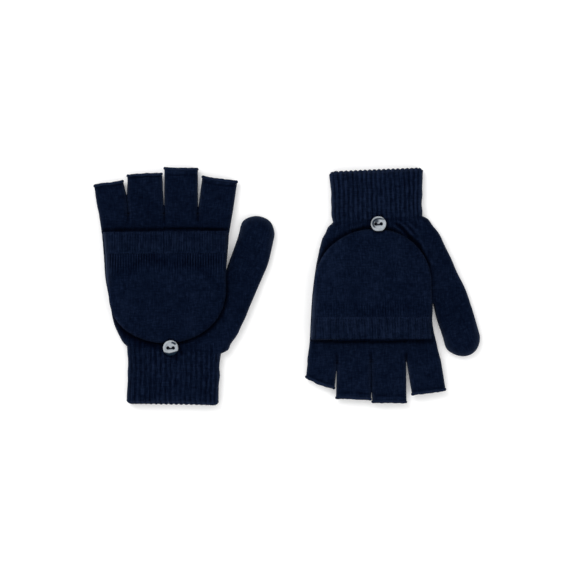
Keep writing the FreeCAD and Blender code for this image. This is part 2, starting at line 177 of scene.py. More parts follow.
def arc(p, through, q, step):
    """Points on the circle from p to q through a third point."""
    (ax, ay), (bx, by), (cx, cy) = p, through, q
    d = 2 * (ax * (by - cy) + bx * (cy - ay) + cx * (ay - by))
    ux = ((ax**2 + ay**2) * (by - cy) + (bx**2 + by**2) * (cy - ay) + (cx**2 + cy**2) * (ay - by)) / d
    uy = ((ax**2 + ay**2) * (cx - bx) + (bx**2 + by**2) * (ax - cx) + (cx**2 + cy**2) * (bx - ax)) / d
    r = math.hypot(ax - ux, ay - uy)
    a0, a1, a2 = (math.atan2(y - uy, x - ux) for x, y in (p, through, q))
    turn = (a2 - a0) % (2 * math.pi)
    if (a1 - a0) % (2 * math.pi) > turn:
        turn -= 2 * math.pi
    n = max(2, round(abs(turn) * r / step))
    a = a0 + np.linspace(0, turn, n + 1)
    return np.stack([ux + r * np.cos(a), uy + r * np.sin(a)], 1)


def join(*stretches):
    return np.vstack([s[:-1] for s in stretches[:-1]] + [stretches[-1]])


def distance(points, a, b):
    """How far each point is from the nearest of the segments a to b."""
    best = np.full(len(points), 1e9)
    for start in range(0, len(a), 64):
        p, q = a[None, start:start + 64], b[None, start:start + 64]
        d = q - p
        t = np.sum((points[:, None] - p) * d, 2) / np.maximum(np.sum(d * d, 2), 1e-12)
        near = p + np.clip(t, 0, 1)[..., None] * d
        best = np.minimum(best, np.sqrt(np.sum((points[:, None] - near) ** 2, 2)).min(1))
    return best


def inside(points, loop):
    x, y = points[:, 0], points[:, 1]
    a, b = loop, np.roll(loop, -1, 0)
    odd = np.zeros(len(points), bool)
    for (ax, ay), (bx, by) in zip(a, b):
        if ay != by:
            crosses = (ay > y) != (by > y)
            odd ^= crosses & (x < ax + (y - ay) / (by - ay) * (bx - ax))
    return odd


def ripple(x, y, scale, seed):
    """Soft random waves, about -1 to 1."""
    return np.array([noise.noise(Vector((a / scale, b / scale, seed))) for a, b in zip(x, y)]) * 1.6


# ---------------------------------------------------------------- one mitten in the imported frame
class Mitten:
    def __init__(self, side, plan):
        self.side, self.plan, self.tone = side, plan, plan["tone"]
        flip = JOINTS[side + "_cap_flip"]
        axis = np.array(flip["axis"], float)
        self.pivot = np.array(flip["pos_m"], float)
        self.across = axis if axis[0] > 0 else -axis
        self.ahead = np.cross(axis, (0, 0, 1))
        self.mirrored = np.cross(self.across, self.ahead)[2] < 0
        self.hinge_y = plan["cap_mouth"] - MOUTH_TO_HINGE
        self.hinge_x = (plan["cap_left"] + plan["cap_right"]) / 2
        self.hand_end = plan["cap_mouth"] - MOUTH_TO_HAND
        self.cuff_seam = (-CUFF_HALF, plan["cuff_left"]), (CUFF_HALF, plan["cuff_right"])

    def place(self, p):
        p = np.asarray(p, float)
        plan = (p[:, 0:1] - self.hinge_x) * self.across + (p[:, 1:2] - self.hinge_y) * self.ahead
        world = plan * MM + self.pivot
        world[:, 2] = p[:, 2] * MM
        return world

    def seam_y(self, x):
        (x0, y0), (x1, y1) = self.cuff_seam
        return y0 + (y1 - y0) * (x - x0) / (x1 - x0)

    def mouth_y(self, x):
        return self.plan["cap_mouth"] - 0.5 + self.plan["mouth_slope"] * (x + 7)

    def slacken(self, p):
        """Shifts points sideways by the plan's slack."""
        p = np.array(p, float)
        x, y = p[:, 0].copy(), p[:, 1].copy()
        for at_x, at_y, dx, dy, reach_x, reach_y in self.plan["slack"]:
            share = np.exp(-(((x - at_x) / reach_x) ** 2) - ((y - at_y) / reach_y) ** 2)
            p[:, 0] += dx * share
            p[:, 1] += dy * share
        return p

    def mesh(self, name, points, faces, material, slot, knit=None, fold=None, rib=None, shade=None):
        """A new object from local points; knit, fold, rib and shade are read by its material."""
        name = f"{self.side}_{name}"
        # painted shadow round the button
        if knit is not None:  # it is dark close round the button
            beside = np.hypot(*(np.asarray(points)[:, :2] - self.plan["button"]).T) - BUTTON_SHADOW
            shade = (0 if shade is None else shade) - 0.30 * bell(np.maximum(beside, 0) / 1.3)
        points = self.slacken(points)
        faces = [tuple(int(i) for i in (f[::-1] if self.mirrored else f)) for f in faces]
        mesh = bpy.data.meshes.new(name)
        mesh.from_pydata([tuple(p) for p in self.place(points)], [], faces)
        mesh.shade_smooth()
        for key, values, kind in (("knit", knit, "FLOAT_VECTOR"), ("fold", fold, "FLOAT"), ("rib", rib, "FLOAT"),
                                  ("shade", shade, "FLOAT")):
            if values is None:
                continue
            layer = mesh.attributes.new(key, kind, "POINT")
            field = "vector" if kind == "FLOAT_VECTOR" else "value"
            layer.data.foreach_set(field, np.asarray(values, np.float32).ravel())
        mesh.materials.append(material)
        obj = bpy.data.objects.new(name, mesh)
        bpy.context.scene.collection.objects.link(obj)
        return obj

    def nodes(self, names):
        """The full names of CAD nodes, from their names with spaces between."""
        return [f"{self.side}_{n}" for n in names.split()]

    def body(self, name):
        return f"{self.side}_{name}"

    def piece(self, replaces, body, *shape, **attributes):
        """A mesh that takes the place of CAD nodes and rides a body."""
        obj = self.mesh(*shape, **attributes)
        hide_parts(*self.nodes(replaces))
        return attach(obj, self.body(body))

    def point(self, x, y, z):
        return tuple(self.place([(x, y, z)])[0])


# ---------------------------------------------------------------- knit sheets: two layers folded at the sides
class Sheet:
    """A plan outline filled with an even mesh. parts are (points, kind): a fold joins the two layers there."""

    def __init__(self, parts, step, rows_by_fold):
        loop = np.vstack([pts[:-1] for pts, _ in parts])
        folded = np.concatenate([np.full(len(pts) - 1, kind == "fold") for pts, kind in parts])
        a, b = loop, np.roll(loop, -1, 0)
        area = np.sum(a[:, 0] * b[:, 1] - b[:, 0] * a[:, 1]) / 2
        self.fold_a, self.fold_b = a[folded], b[folded]
        open_a, open_b = a[~folded], b[~folded]
        d = b - a
        inward = np.stack([-d[:, 1], d[:, 0]], 1) / np.linalg.norm(d, axis=1, keepdims=True) * np.sign(area)
        corner = inward + np.roll(inward, 1, 0)
        corner /= np.maximum(np.linalg.norm(corner, axis=1, keepdims=True), 1e-9)
        beside_fold = folded | np.roll(folded, 1)
        fill = []
        for k, gap in enumerate(rows_by_fold):
            base, normal = (loop, corner) if k % 2 == 0 else ((a + b) / 2, inward)
            chosen = beside_fold if k % 2 == 0 else folded
            p = base[chosen] + normal[chosen] * gap
            keep = distance(p, self.fold_a, self.fold_b) > gap * 0.96
            if len(open_a):
                keep &= distance(p, open_a, open_b) > 0.3 * step
            fill.append(p[keep & inside(p, loop)])
        lo, hi = loop.min(0), loop.max(0)
        row = step * math.sqrt(0.75)
        gx, gy = np.meshgrid(np.arange(lo[0], hi[0], step), np.arange(lo[1], hi[1], row))
        gx[1::2] += step / 2
        p = np.stack([gx.ravel(), gy.ravel()], 1)
        p = p[inside(p, loop)]
        p = p[distance(p, self.fold_a, self.fold_b) > rows_by_fold[-1] + 0.55 * step]
        if len(open_a):
            p = p[distance(p, open_a, open_b) > 0.5 * step]
        fill.append(p)
        points = [Vector(q) for q in np.vstack([loop, *fill])]
        n = len(loop)
        found = delaunay_2d_cdt(points, [(i, (i + 1) % n) for i in range(n)], [], 1, 1e-5)
        self.xy = np.array([tuple(v) for v in found[0]])
        faces = np.array([f for f in found[2] if len(f) == 3])
        q = self.xy[faces]
        u, v = q[:, 1] - q[:, 0], q[:, 2] - q[:, 0]
        turn = u[:, 0] * v[:, 1] - u[:, 1] * v[:, 0]
        faces[turn < 0] = faces[turn < 0][:, ::-1]
        self.faces = faces[np.abs(turn) > 1e-7]
        self.fold = distance(self.xy, self.fold_a, self.fold_b)
        self.fold[self.fold < 1e-4] = 0
        self.open = distance(self.xy, open_a, open_b) if len(open_a) else np.full(len(self.xy), 1e3)

    def layers(self, top, bottom, knit=None):
        """Both layers as one mesh. top and bottom give z, or points, for x, y and the distance to a fold."""
        x, y = self.xy.T
        above, below = top(x, y, self.fold), bottom(x, y, self.fold)
        if above.ndim == 1:
            above = np.stack([x, y, above], 1)
        if below.ndim == 1:
            below = np.stack([x, y, below], 1)
        free = self.fold > 0
        index = np.where(free, np.cumsum(free) - 1 + len(x), np.arange(len(x)))
        points = np.vstack([above, below[free]])
        faces = np.vstack([self.faces, index[self.faces][:, ::-1]])
        uv = np.stack([x, y], 1) if knit is None else knit(x, y)
        uv = np.vstack([uv, uv[free]])
        side = np.concatenate([np.ones(len(x)), -np.ones(free.sum())])
        fold = np.concatenate([self.fold, self.fold[free]])
        return points, faces, np.column_stack([uv, side]), fold


def thicken(obj, wall, rim=False):
    """Gives a knit sheet its thickness, inwards. Ends that lie inside the next piece need no rim."""
    m = obj.modifiers.new("wall", "SOLIDIFY")
    m.use_rim = rim
    m.thickness = wall * MM
    m.offset = -1
    m.use_even_offset = False


# ---------------------------------------------------------------- tubes along a path, for cords, rolls and thread
def tube(path, radius, sides=10, closed=False, twist=0.0, lobes=0, lobe_depth=0.0):
    """Points, faces and (along, around, 0) for a tube. radius is a number or one for each path point."""
    path = np.asarray(path, float)
    n = len(path)
    ahead = np.roll(path, -1, 0) - np.roll(path, 1, 0)
    if not closed:
        ahead[0], ahead[-1] = path[1] - path[0], path[-1] - path[-2]
    ahead /= np.linalg.norm(ahead, axis=1, keepdims=True)
    normal = np.cross(ahead[0], (0.3, 0.2, 1.0))
    normal /= np.linalg.norm(normal)
    frames = []
    for t in ahead:
        normal = normal - t * (normal @ t)
        normal /= np.linalg.norm(normal)
        frames.append((normal, np.cross(t, normal)))
    shift = 0.0
    if closed:
        n0, b0 = frames[0]
        last = frames[-1][0] - ahead[0] * (frames[-1][0] @ ahead[0])
        shift = math.atan2(last @ b0, last @ n0)
    step = np.linalg.norm(np.diff(path, axis=0, append=path[:1]), axis=1)
    run = np.concatenate([[0], np.cumsum(step)[:-1]])
    radii = np.broadcast_to(radius, n)
    a = np.linspace(0, 2 * math.pi, sides, endpoint=False)
    points, knit = [], []
    for i, (u, v) in enumerate(frames):
        turned = a - shift * i / n + twist * run[i]
        r = radii[i] * (1 + lobe_depth * np.cos(lobes * a))
        points.append(path[i] + (np.cos(turned) * r)[:, None] * u + (np.sin(turned) * r)[:, None] * v)
        knit.append(np.stack([np.full(sides, run[i]), a * radii[i], np.zeros(sides)], 1))
    faces = []
    for i in range(n if closed else n - 1):
        j = (i + 1) % n
        for k in range(sides):
            m = (k + 1) % sides
            faces.append((i * sides + k, i * sides + m, j * sides + m, j * sides + k))
    if not closed:
        faces.append(tuple(range(sides))[::-1])
        faces.append(tuple((n - 1) * sides + k for k in range(sides)))
    return np.vstack(points), faces, np.vstack(knit)


def merge(pieces):
    """One set of points, faces and knit coordinates from several tubes."""
    faces, start = [], 0
    for p, f, _ in pieces:
        faces += [tuple(i + start for i in face) for face in f]
        start += len(p)
    return np.vstack([p for p, _, _ in pieces]), faces, np.vstack([knit for _, _, knit in pieces])


def stadium(left, right, low, high, step):
    """A flattened ring from the left to the right plan point: its points, and how far round each one is."""
    r, middle = (high - low) / 2, (high + low) / 2
    a, b = np.array(left, float), np.array(right, float)
    width = np.linalg.norm(b - a)
    d = (b - a) / width
    flat = width - 2 * r
    length = 2 * flat + 2 * math.pi * r
    n = max(16, round(length / step))
    s = np.arange(n) * length / n
    out = []
    for v in s:
        if v < flat:
            along, z = r + v, high
        elif v < flat + math.pi * r:
            t = (v - flat) / r
            along, z = r + flat + r * math.sin(t), middle + r * math.cos(t)
        elif v < 2 * flat + math.pi * r:
            along, z = r + flat - (v - flat - math.pi * r), low
        else:
            t = (v - 2 * flat - math.pi * r) / r
            along, z = r - r * math.sin(t), middle - r * math.cos(t)
        out.append((*(a + d * along), z))
    return np.array(out), s


# ---------------------------------------------------------------- materials
class Nodes:
    """Short names for building a material's node tree. A value is a number, a colour or another node's output."""

    def __init__(self, name):
        self.material = bpy.data.materials.new(name)
        self.material.use_nodes = True
        self.tree = self.material.node_tree
        self.shader = self.tree.nodes["Principled BSDF"]

    def add(self, kind, **settings):
        node = self.tree.nodes.new(kind)
        for key, value in settings.items():
            setattr(node, key, value)
        return node

    def feed(self, socket, value):
        if isinstance(value, bpy.types.NodeSocket):
            self.tree.links.new(value, socket)
        else:
            socket.default_value = value

    def math(self, operation, *values):
        node = self.add("ShaderNodeMath", operation=operation)
        for socket, value in zip(node.inputs, values):
            self.feed(socket, value)
        return node.outputs[0]

    def times(self, a, b):
        return self.math("MULTIPLY", a, b)

    def plus(self, a, b):
        return self.math("ADD", a, b)

    def minus(self, a, b):
        return self.math("SUBTRACT", a, b)

    def scaled(self, a, factor, offset):
        return self.math("MULTIPLY_ADD", a, factor, offset)

    def wave(self, a):
        """A sine that repeats at each step of 1."""
        return self.math("SINE", self.times(a, 2 * math.pi))

    def attribute(self, name, output="Fac"):
        return self.add("ShaderNodeAttribute", attribute_name=name).outputs[output]

    def split(self, vector):
        node = self.add("ShaderNodeSeparateXYZ")
        self.feed(node.inputs[0], vector)
        return node.outputs[0], node.outputs[1]

    def noise(self, vector, scale, detail=2.0, roughness=0.5):
        node = self.add("ShaderNodeTexNoise")
        for name, value in (("Scale", scale), ("Detail", detail), ("Roughness", roughness), ("Vector", vector)):
            self.feed(node.inputs[name], value)
        return node.outputs["Fac"]

    def ramp(self, factor, stops):
        node = self.add("ShaderNodeValToRGB")
        ramp = node.color_ramp
        while len(ramp.elements) < len(stops):
            ramp.elements.new(0.5)
        for element, (at, colour) in zip(ramp.elements, stops):
            element.position = at
            element.color = (*colour, 1)
        self.feed(node.inputs["Fac"], factor)
        return node.outputs["Color"]

    def mix(self, factor, colour, other):
        """From colour, at 0, to the fixed colour other, at 1."""
        node = self.add("ShaderNodeMix", data_type="RGBA")
        self.feed(node.inputs["Factor"], factor)
        self.feed(node.inputs["A"], colour)
        node.inputs["B"].default_value = (*other, 1)
        return node.outputs["Result"]

    def bump(self, height, distance_mm, strength=1.0):
        node = self.add("ShaderNodeBump")
        for name, value in (("Distance", distance_mm * MM), ("Strength", strength), ("Height", height)):
            self.feed(node.inputs[name], value)
        self.feed(self.shader.inputs["Normal"], node.outputs["Normal"])

    def finish(self, **values):
        """The material, once the shader's inputs are set; _ stands for a space in an input's name."""
        for key, value in values.items():
            self.feed(self.shader.inputs[key.replace("_", " ")], value)
        return self.material


NAVY_DARK = (0.0004, 0.0012, 0.0055)
NAVY = (0.0019, 0.0047, 0.0152)
NAVY_LIGHT = (0.0080, 0.0150, 0.0385)
# colour of the painted highlight along the knit's folds
FOLD_HIGHLIGHT = (0.034, 0.046, 0.078)
# the dark of the painted reflections and shadow on the buttons
PEARL_PAINTED_DARK = (0.001, 0.009, 0.022)


def knit_material(name, light, rib_tone, mottle):
    """Plain knit: columns of V stitches with painted shade between them, streaky mottled yarn, and a painted highlight
    along each fold.

    The attributes: knit is (across, along) in mm, fold the distance to a fold, rib the strength of fine ribs, which
    are painted lighter on their crests and darker between them, and shade a shift in tone: partly the knit's own
    tone, partly painted shade and light.
    """
    n = Nodes(name)
    knit = n.attribute("knit", "Vector")
    u, v = n.split(knit)
    wobble = n.times(n.minus(n.noise(knit, 0.11), 0.5), 1.6)
    across = n.plus(n.math("DIVIDE", u, WALE), wobble)
    half = n.math("ABSOLUTE", n.minus(n.math("FRACT", across), 0.5))
    slant = n.minus(n.plus(n.math("DIVIDE", v, COURSE), n.times(wobble, 0.6)), n.times(half, 1.3))
    height = n.times(n.wave(half), n.scaled(n.wave(slant), 0.28, 0.72))
    # fine ribs: a bump, and painted light on their crests and painted shade between them
    ribbed = n.times(n.math("SINE", n.times(u, 2 * math.pi / BAND_PITCH)), n.attribute("rib"))

    def streaks(along_u, along_v, detail):
        stretch = n.add("ShaderNodeVectorMath", operation="MULTIPLY")
        stretch.inputs[1].default_value = (along_u, along_v, 1)
        n.feed(stretch.inputs[0], knit)
        return n.minus(n.noise(stretch.outputs[0], 1.0, detail, 0.6), 0.5)

    yarn = n.noise(knit, 2.6, 3.0, 0.65)
    # painted shade: the tone follows the stitches' relief, darker between them
    tone = n.scaled(height, 0.40, 0.5 - 0.40 * 0.46 + light)
    for part, amount in ((n.minus(yarn, 0.5), 0.6), (streaks(0.95, 0.16, 2.0), 0.85 * mottle),
                         (streaks(0.22, 0.95, 2.0), 0.75 * mottle), (streaks(0.10, 0.13, 3.0), 0.35 * mottle),
                         (ribbed, rib_tone), (n.attribute("shade"), 1.0)):
        tone = n.plus(tone, n.times(part, amount))
    colour = n.ramp(tone, [(0.0, NAVY_DARK), (0.5, NAVY), (1.0, NAVY_LIGHT)])
    # painted highlight along the folds, fading away from them
    highlight_share = n.times(n.math("EXPONENT", n.times(n.attribute("fold"), -1.7)), n.scaled(yarn, 0.9, 0.25))
    n.bump(n.plus(n.plus(n.times(height, 0.8), n.times(yarn, 0.6)), n.times(ribbed, 1.3)), 0.35)
    return n.finish(Base_Color=n.mix(highlight_share, colour, FOLD_HIGHLIGHT), Roughness=n.scaled(yarn, 0.14, 0.80),
                    Specular_IOR_Level=0.008, Sheen_Weight=0.012, Sheen_Roughness=0.3, Sheen_Tint=(0.6, 0.75, 1, 1))


def yarn_material(name, colour, pitch):
    """Twisted thread or cord: knit holds (along, around) in mm."""
    n = Nodes(name)
    knit = n.attribute("knit", "Vector")
    along, around = n.split(knit)
    ply = n.wave(n.plus(n.math("DIVIDE", along, pitch), n.math("DIVIDE", around, pitch * 1.4)))
    fluff = n.noise(knit, 4.0, 3.0, 0.7)
    tone = n.plus(n.times(ply, 0.18), n.scaled(fluff, 0.6, 0.2))
    dark, light = tuple(c * 0.35 for c in colour), tuple(c * 1.9 for c in colour)
    n.bump(n.plus(ply, fluff), 0.10, 0.8)
    return n.finish(Base_Color=n.ramp(tone, [(0.0, dark), (0.5, colour), (1.0, light)]),
                    Roughness=n.scaled(fluff, 0.2, 0.6), Specular_IOR_Level=0.08, Sheen_Weight=0.05,
                    Sheen_Roughness=0.5)


def pearl_material():
    """Cloudy grey imitation pearl; shade is how much of the painted dark reflections and shadow shows."""
    n = Nodes("button_pearl")
    cloud = n.noise(n.add("ShaderNodeTexCoord").outputs["Object"], 420.0, 3.0, 0.55)
    colour = n.ramp(n.scaled(cloud, 0.9, 0.05),
                    [(0.2, (0.24, 0.27, 0.30)), (0.5, (0.33, 0.36, 0.39)), (0.8, (0.48, 0.50, 0.53))])
    n.bump(cloud, 0.04, 0.3)
    return n.finish(Base_Color=n.mix(n.attribute("shade"), colour, PEARL_PAINTED_DARK), Roughness=n.scaled(cloud, 0.12, 0.30),
                    Specular_IOR_Level=0.08, Coat_Weight=0.03, Coat_Roughness=0.1)


JERSEY = knit_material("jersey_knit", light=0.0, rib_tone=0.30, mottle=1.12)
CUFF_RIB = knit_material("cuff_rib_knit", light=0.0, rib_tone=0.0, mottle=1.6)
BAND_RIB = knit_material("band_rib_knit", light=0.07, rib_tone=0.05, mottle=1.3)
LINKING = yarn_material("linking_yarn", (0.0042, 0.0085, 0.0240), 0.9)
THREAD = yarn_material("sewing_thread", (0.0020, 0.0040, 0.0120), 0.45)
ELASTIC = yarn_material("elastic_cord", (0.0020, 0.0036, 0.0100), 0.5)
PEARL = pearl_material()


# ---------------------------------------------------------------- hand, fingers and thumb
def thumb_point(distance_along, across):
    """A plan point on the thumb, by its distance from the crotch line and from the thumb's inner edge."""
    s, c = math.sin(THUMB_TILT), math.cos(THUMB_TILT)
    return (THUMB_CROTCH[0] + s * distance_along + c * across, THUMB_CROTCH[1] + c * distance_along - s * across)


def thumb_coordinates(x, y):
    s, c = math.sin(THUMB_TILT), math.cos(THUMB_TILT)
    dx, dy = x - THUMB_CROTCH[0], y - THUMB_CROTCH[1]
    return dx * s + dy * c, dx * c - dy * s


def shouldered(points, amount, step):
    """Knit swells out just past the tight ribs: pushes an outline out near its first point."""
    ahead = np.gradient(points, axis=0)
    ahead /= np.linalg.norm(ahead, axis=1, keepdims=True)
    run = np.arange(len(points)) * step
    push = amount * bell((run - 5.0) / 3.4) * smooth(run / 2)
    return points + np.stack([ahead[:, 1], -ahead[:, 0]], 1) * push[:, None]


def hand_piece(m):
    step = 0.9
    (cl, cr), end = m.cuff_seam, m.hand_end
    p1, p2, p3 = HAND_LEFT_SIDE
    p4, p5 = (HAND_END_LEFT, end), (HAND_END_RIGHT, end)
    crotch, outer = thumb_point(0, 0), thumb_point(0, THUMB_WIDTH)
    left_bulge, right_bulge = m.plan["shoulders"]
    left_side = join(arc(cl, p1, p2, step), arc(p2, p3, p4, step))
    left_side = shouldered(left_side, -left_bulge, step)[::-1]
    sheet = Sheet([
        (straight(cl, cr, step), "cut"),
        (shouldered(arc(cr, GUSSET_MIDDLE, outer, step), right_bulge, step), "fold"),
        (straight(outer, crotch, step), "cut"),
        (straight(crotch, p5, step), "fold"),
        (straight(p5, p4, step), "cut"),
        (left_side, "fold"),
    ], step, FOLD_ROWS)
    footprint = cap_outline(m, 1.2)
    outside = distance(sheet.xy, footprint[:-1], footprint[1:]) * np.where(inside(sheet.xy, footprint), -1, 1)

    def layer(sign):
        def height(x, y, d):
            along, _ = thumb_coordinates(x, y)
            fingers = smooth((y - end + 9) / 9)
            thumb = smooth((along + 14) / 14) * smooth((x - 36) / 6)
            from_seam = y - m.seam_y(x)
            cuff = smooth(1 - from_seam / 9)

            def mixed(own, at_fingers, at_thumb, at_cuff):
                return own + (at_fingers - own) * fingers + (at_thumb - own) * thumb + (at_cuff - own) * cuff

            z = mixed(HAND_MID, STALL_MID, THUMB_MID, CUFF_MID) + pillow(d, 4.2) * sign * mixed(
                HAND_HALF, STALL_HALF, THUMB_HALF, CUFF_HALF_HEIGHT)
            free = (1 - fingers) * (1 - thumb) * (1 - cuff) * smooth(d / 5)
            soft = ripple(x, y, 17, 3.1 + m.mirrored) * 0.35 + ripple(x, y, 6, 8.7) * 0.14
            if sign < 0:
                return z + free * (0.12 + 0.1 * soft) + UNDERSIDE_LIFT * smooth((y - end + 4) / 3) * smooth(d / 2)
            ribs = cuff_wave(m, x) * 0.42 * smooth(1 - from_seam / 13) * smooth(d / 3)
            pressed = np.where(outside > 0, bell(outside / 2.3), smooth(1 + outside / 3) * 0.5 + 0.5)
            faint = 1 - (0.5 if m.mirrored else 0.0) * smooth(x / 10) * smooth((y - 66) / 14)
            soft = soft + pull_creases(m, x, y) - 2.4 * faint * pressed * smooth((outside + 6) / 4)
            return z - free * (0.25 - soft) + ribs
        return height

    points, faces, knit, fold = sheet.layers(layer(1), layer(-1))
    x, y = points[:, 0], points[:, 1]
    near_cap = np.concatenate([outside, np.full(len(points) - len(outside), 20.0)])
    # painted shadow in the groove round the cap; groove sets how wide and how dark it is on each side
    groove = 1 - (0.65 if m.mirrored else 0.15) * smooth(x / 10) * smooth((y - 66) / 14) - 0.2 * smooth(x / 10)
    groove = groove + (-0.25 if m.mirrored else 0.6) * smooth((-x - 8) / 8) * smooth((70 - y) / 10)
    from_seam = y - m.seam_y(x)
    shade = -0.34 * bell(near_cap / (2.4 * groove)) * groove
    # the cuff's ribs run on into the hand, painted lighter on their crests and darker between them; a darker line lies
    # along the seam
    shade += 0.08 * cuff_wave(m, x) * smooth(1 - from_seam / 12) - 0.09 * bell((from_seam - 1.5) / 1.6)
    # painted shade in the pull creases, lighter beside them, and a random tone
    shade += 0.28 * pull_creases(m, x, y) + 0.06 * ripple(x, y, 22, 12.5 + m.mirrored)
    obj = m.piece("hand_back hand_palm", "hand", "hand_knit", points, faces, JERSEY, "jersey_knit", knit, fold,
                  shade=shade)
    thicken(obj, WALL)


# each crease is (start, end, depth, width), in mm
CREASES = {
    "left": [((10, 44), (26, 52), 0.5, 1.6), ((-12, 43), (-24, 47), 0.5, 1.6)],
    "right": [((13, 40), (31, 59), 1.9, 1.3), ((25, 50), (41, 78), 1.5, 1.5), ((15, 37), (34, 54), 1.0, 1.1),
              ((22, 38), (35, 48), 0.5, 1.3),
              ((-8, 42), (-26, 46), 0.8, 1.5), ((-12, 39), (-28, 42), 0.5, 1.4)],
}


def pull_creases(m, x, y):
    """Creases that fan out from the button, where the loop pulls on the knit."""
    z = np.zeros_like(x)
    for start, end, depth, width in CREASES[m.side]:
        length = math.dist(start, end)
        ux, uy = (end[0] - start[0]) / length, (end[1] - start[1]) / length
        along = (x - start[0]) * ux + (y - start[1]) * uy
        beside = (y - start[1]) * ux - (x - start[0]) * uy + 0.9 * np.sin(along / 5)
        run = smooth(along / 5 + 0.3) * smooth((length - along) / 7)
        z = z - depth * run * bell(beside / width)
        z = z + 0.45 * depth * run * bell((np.abs(beside) - 2.1 * width) / width)
    return z


TIP_SAG = 0.1
TOUCHING, PRESSED = 0.10, 0.17   # gap in plan between stalls that touch, and how far each side is then pressed in


def stall_side(m, k, right, step):
    """A stall's side from its base to its tip. Neighbouring stalls touch up to the height in slits."""
    stalls = list(m.plan["stalls"].values())

    def line_of(i, on_right):
        base, tip = (stalls[i][1], stalls[i][3]) if on_right else (stalls[i][0], stalls[i][2])
        return np.array((base, KNUCKLE_END)), np.array(tip)

    base, tip = line_of(k, right)
    points = straight(base, tip, step)
    other = k + 1 if right else k - 1
    if not 0 <= other < len(stalls):
        return points
    base2, tip2 = line_of(other, not right)
    opens = m.plan["slits"][min(k, other)]
    top = min(tip[1], tip2[1])

    def x_at(b, t, y):
        return b[0] + (t[0] - b[0]) * (y - KNUCKLE_END) / (t[1] - KNUCKLE_END)

    sign = 1 if right else -1
    for p in points:
        y = p[1]
        own, theirs = x_at(base, tip, y), x_at(base2, tip2, y)
        widest = abs(x_at(base2, tip2, top) - x_at(base, tip, top))
        gap = TOUCHING + (widest - TOUCHING) * max(0.0, y - opens) / (top - opens) if y < top else abs(theirs - own)
        p[0] = (own + theirs) / 2 - sign * gap / 2
    return points


def stall_outline(m, k, step):
    """The stall's left fold going up, its open end, and its right fold coming down."""
    left, right = stall_side(m, k, False, step), stall_side(m, k, True, step)
    across = (right[-1] - left[-1]) / np.linalg.norm(right[-1] - left[-1])
    middle = (left[-1] + right[-1]) / 2 - np.array((-across[1], across[0])) * TIP_SAG
    return left, arc(tuple(left[-1]), tuple(middle), tuple(right[-1]), step), right[::-1]


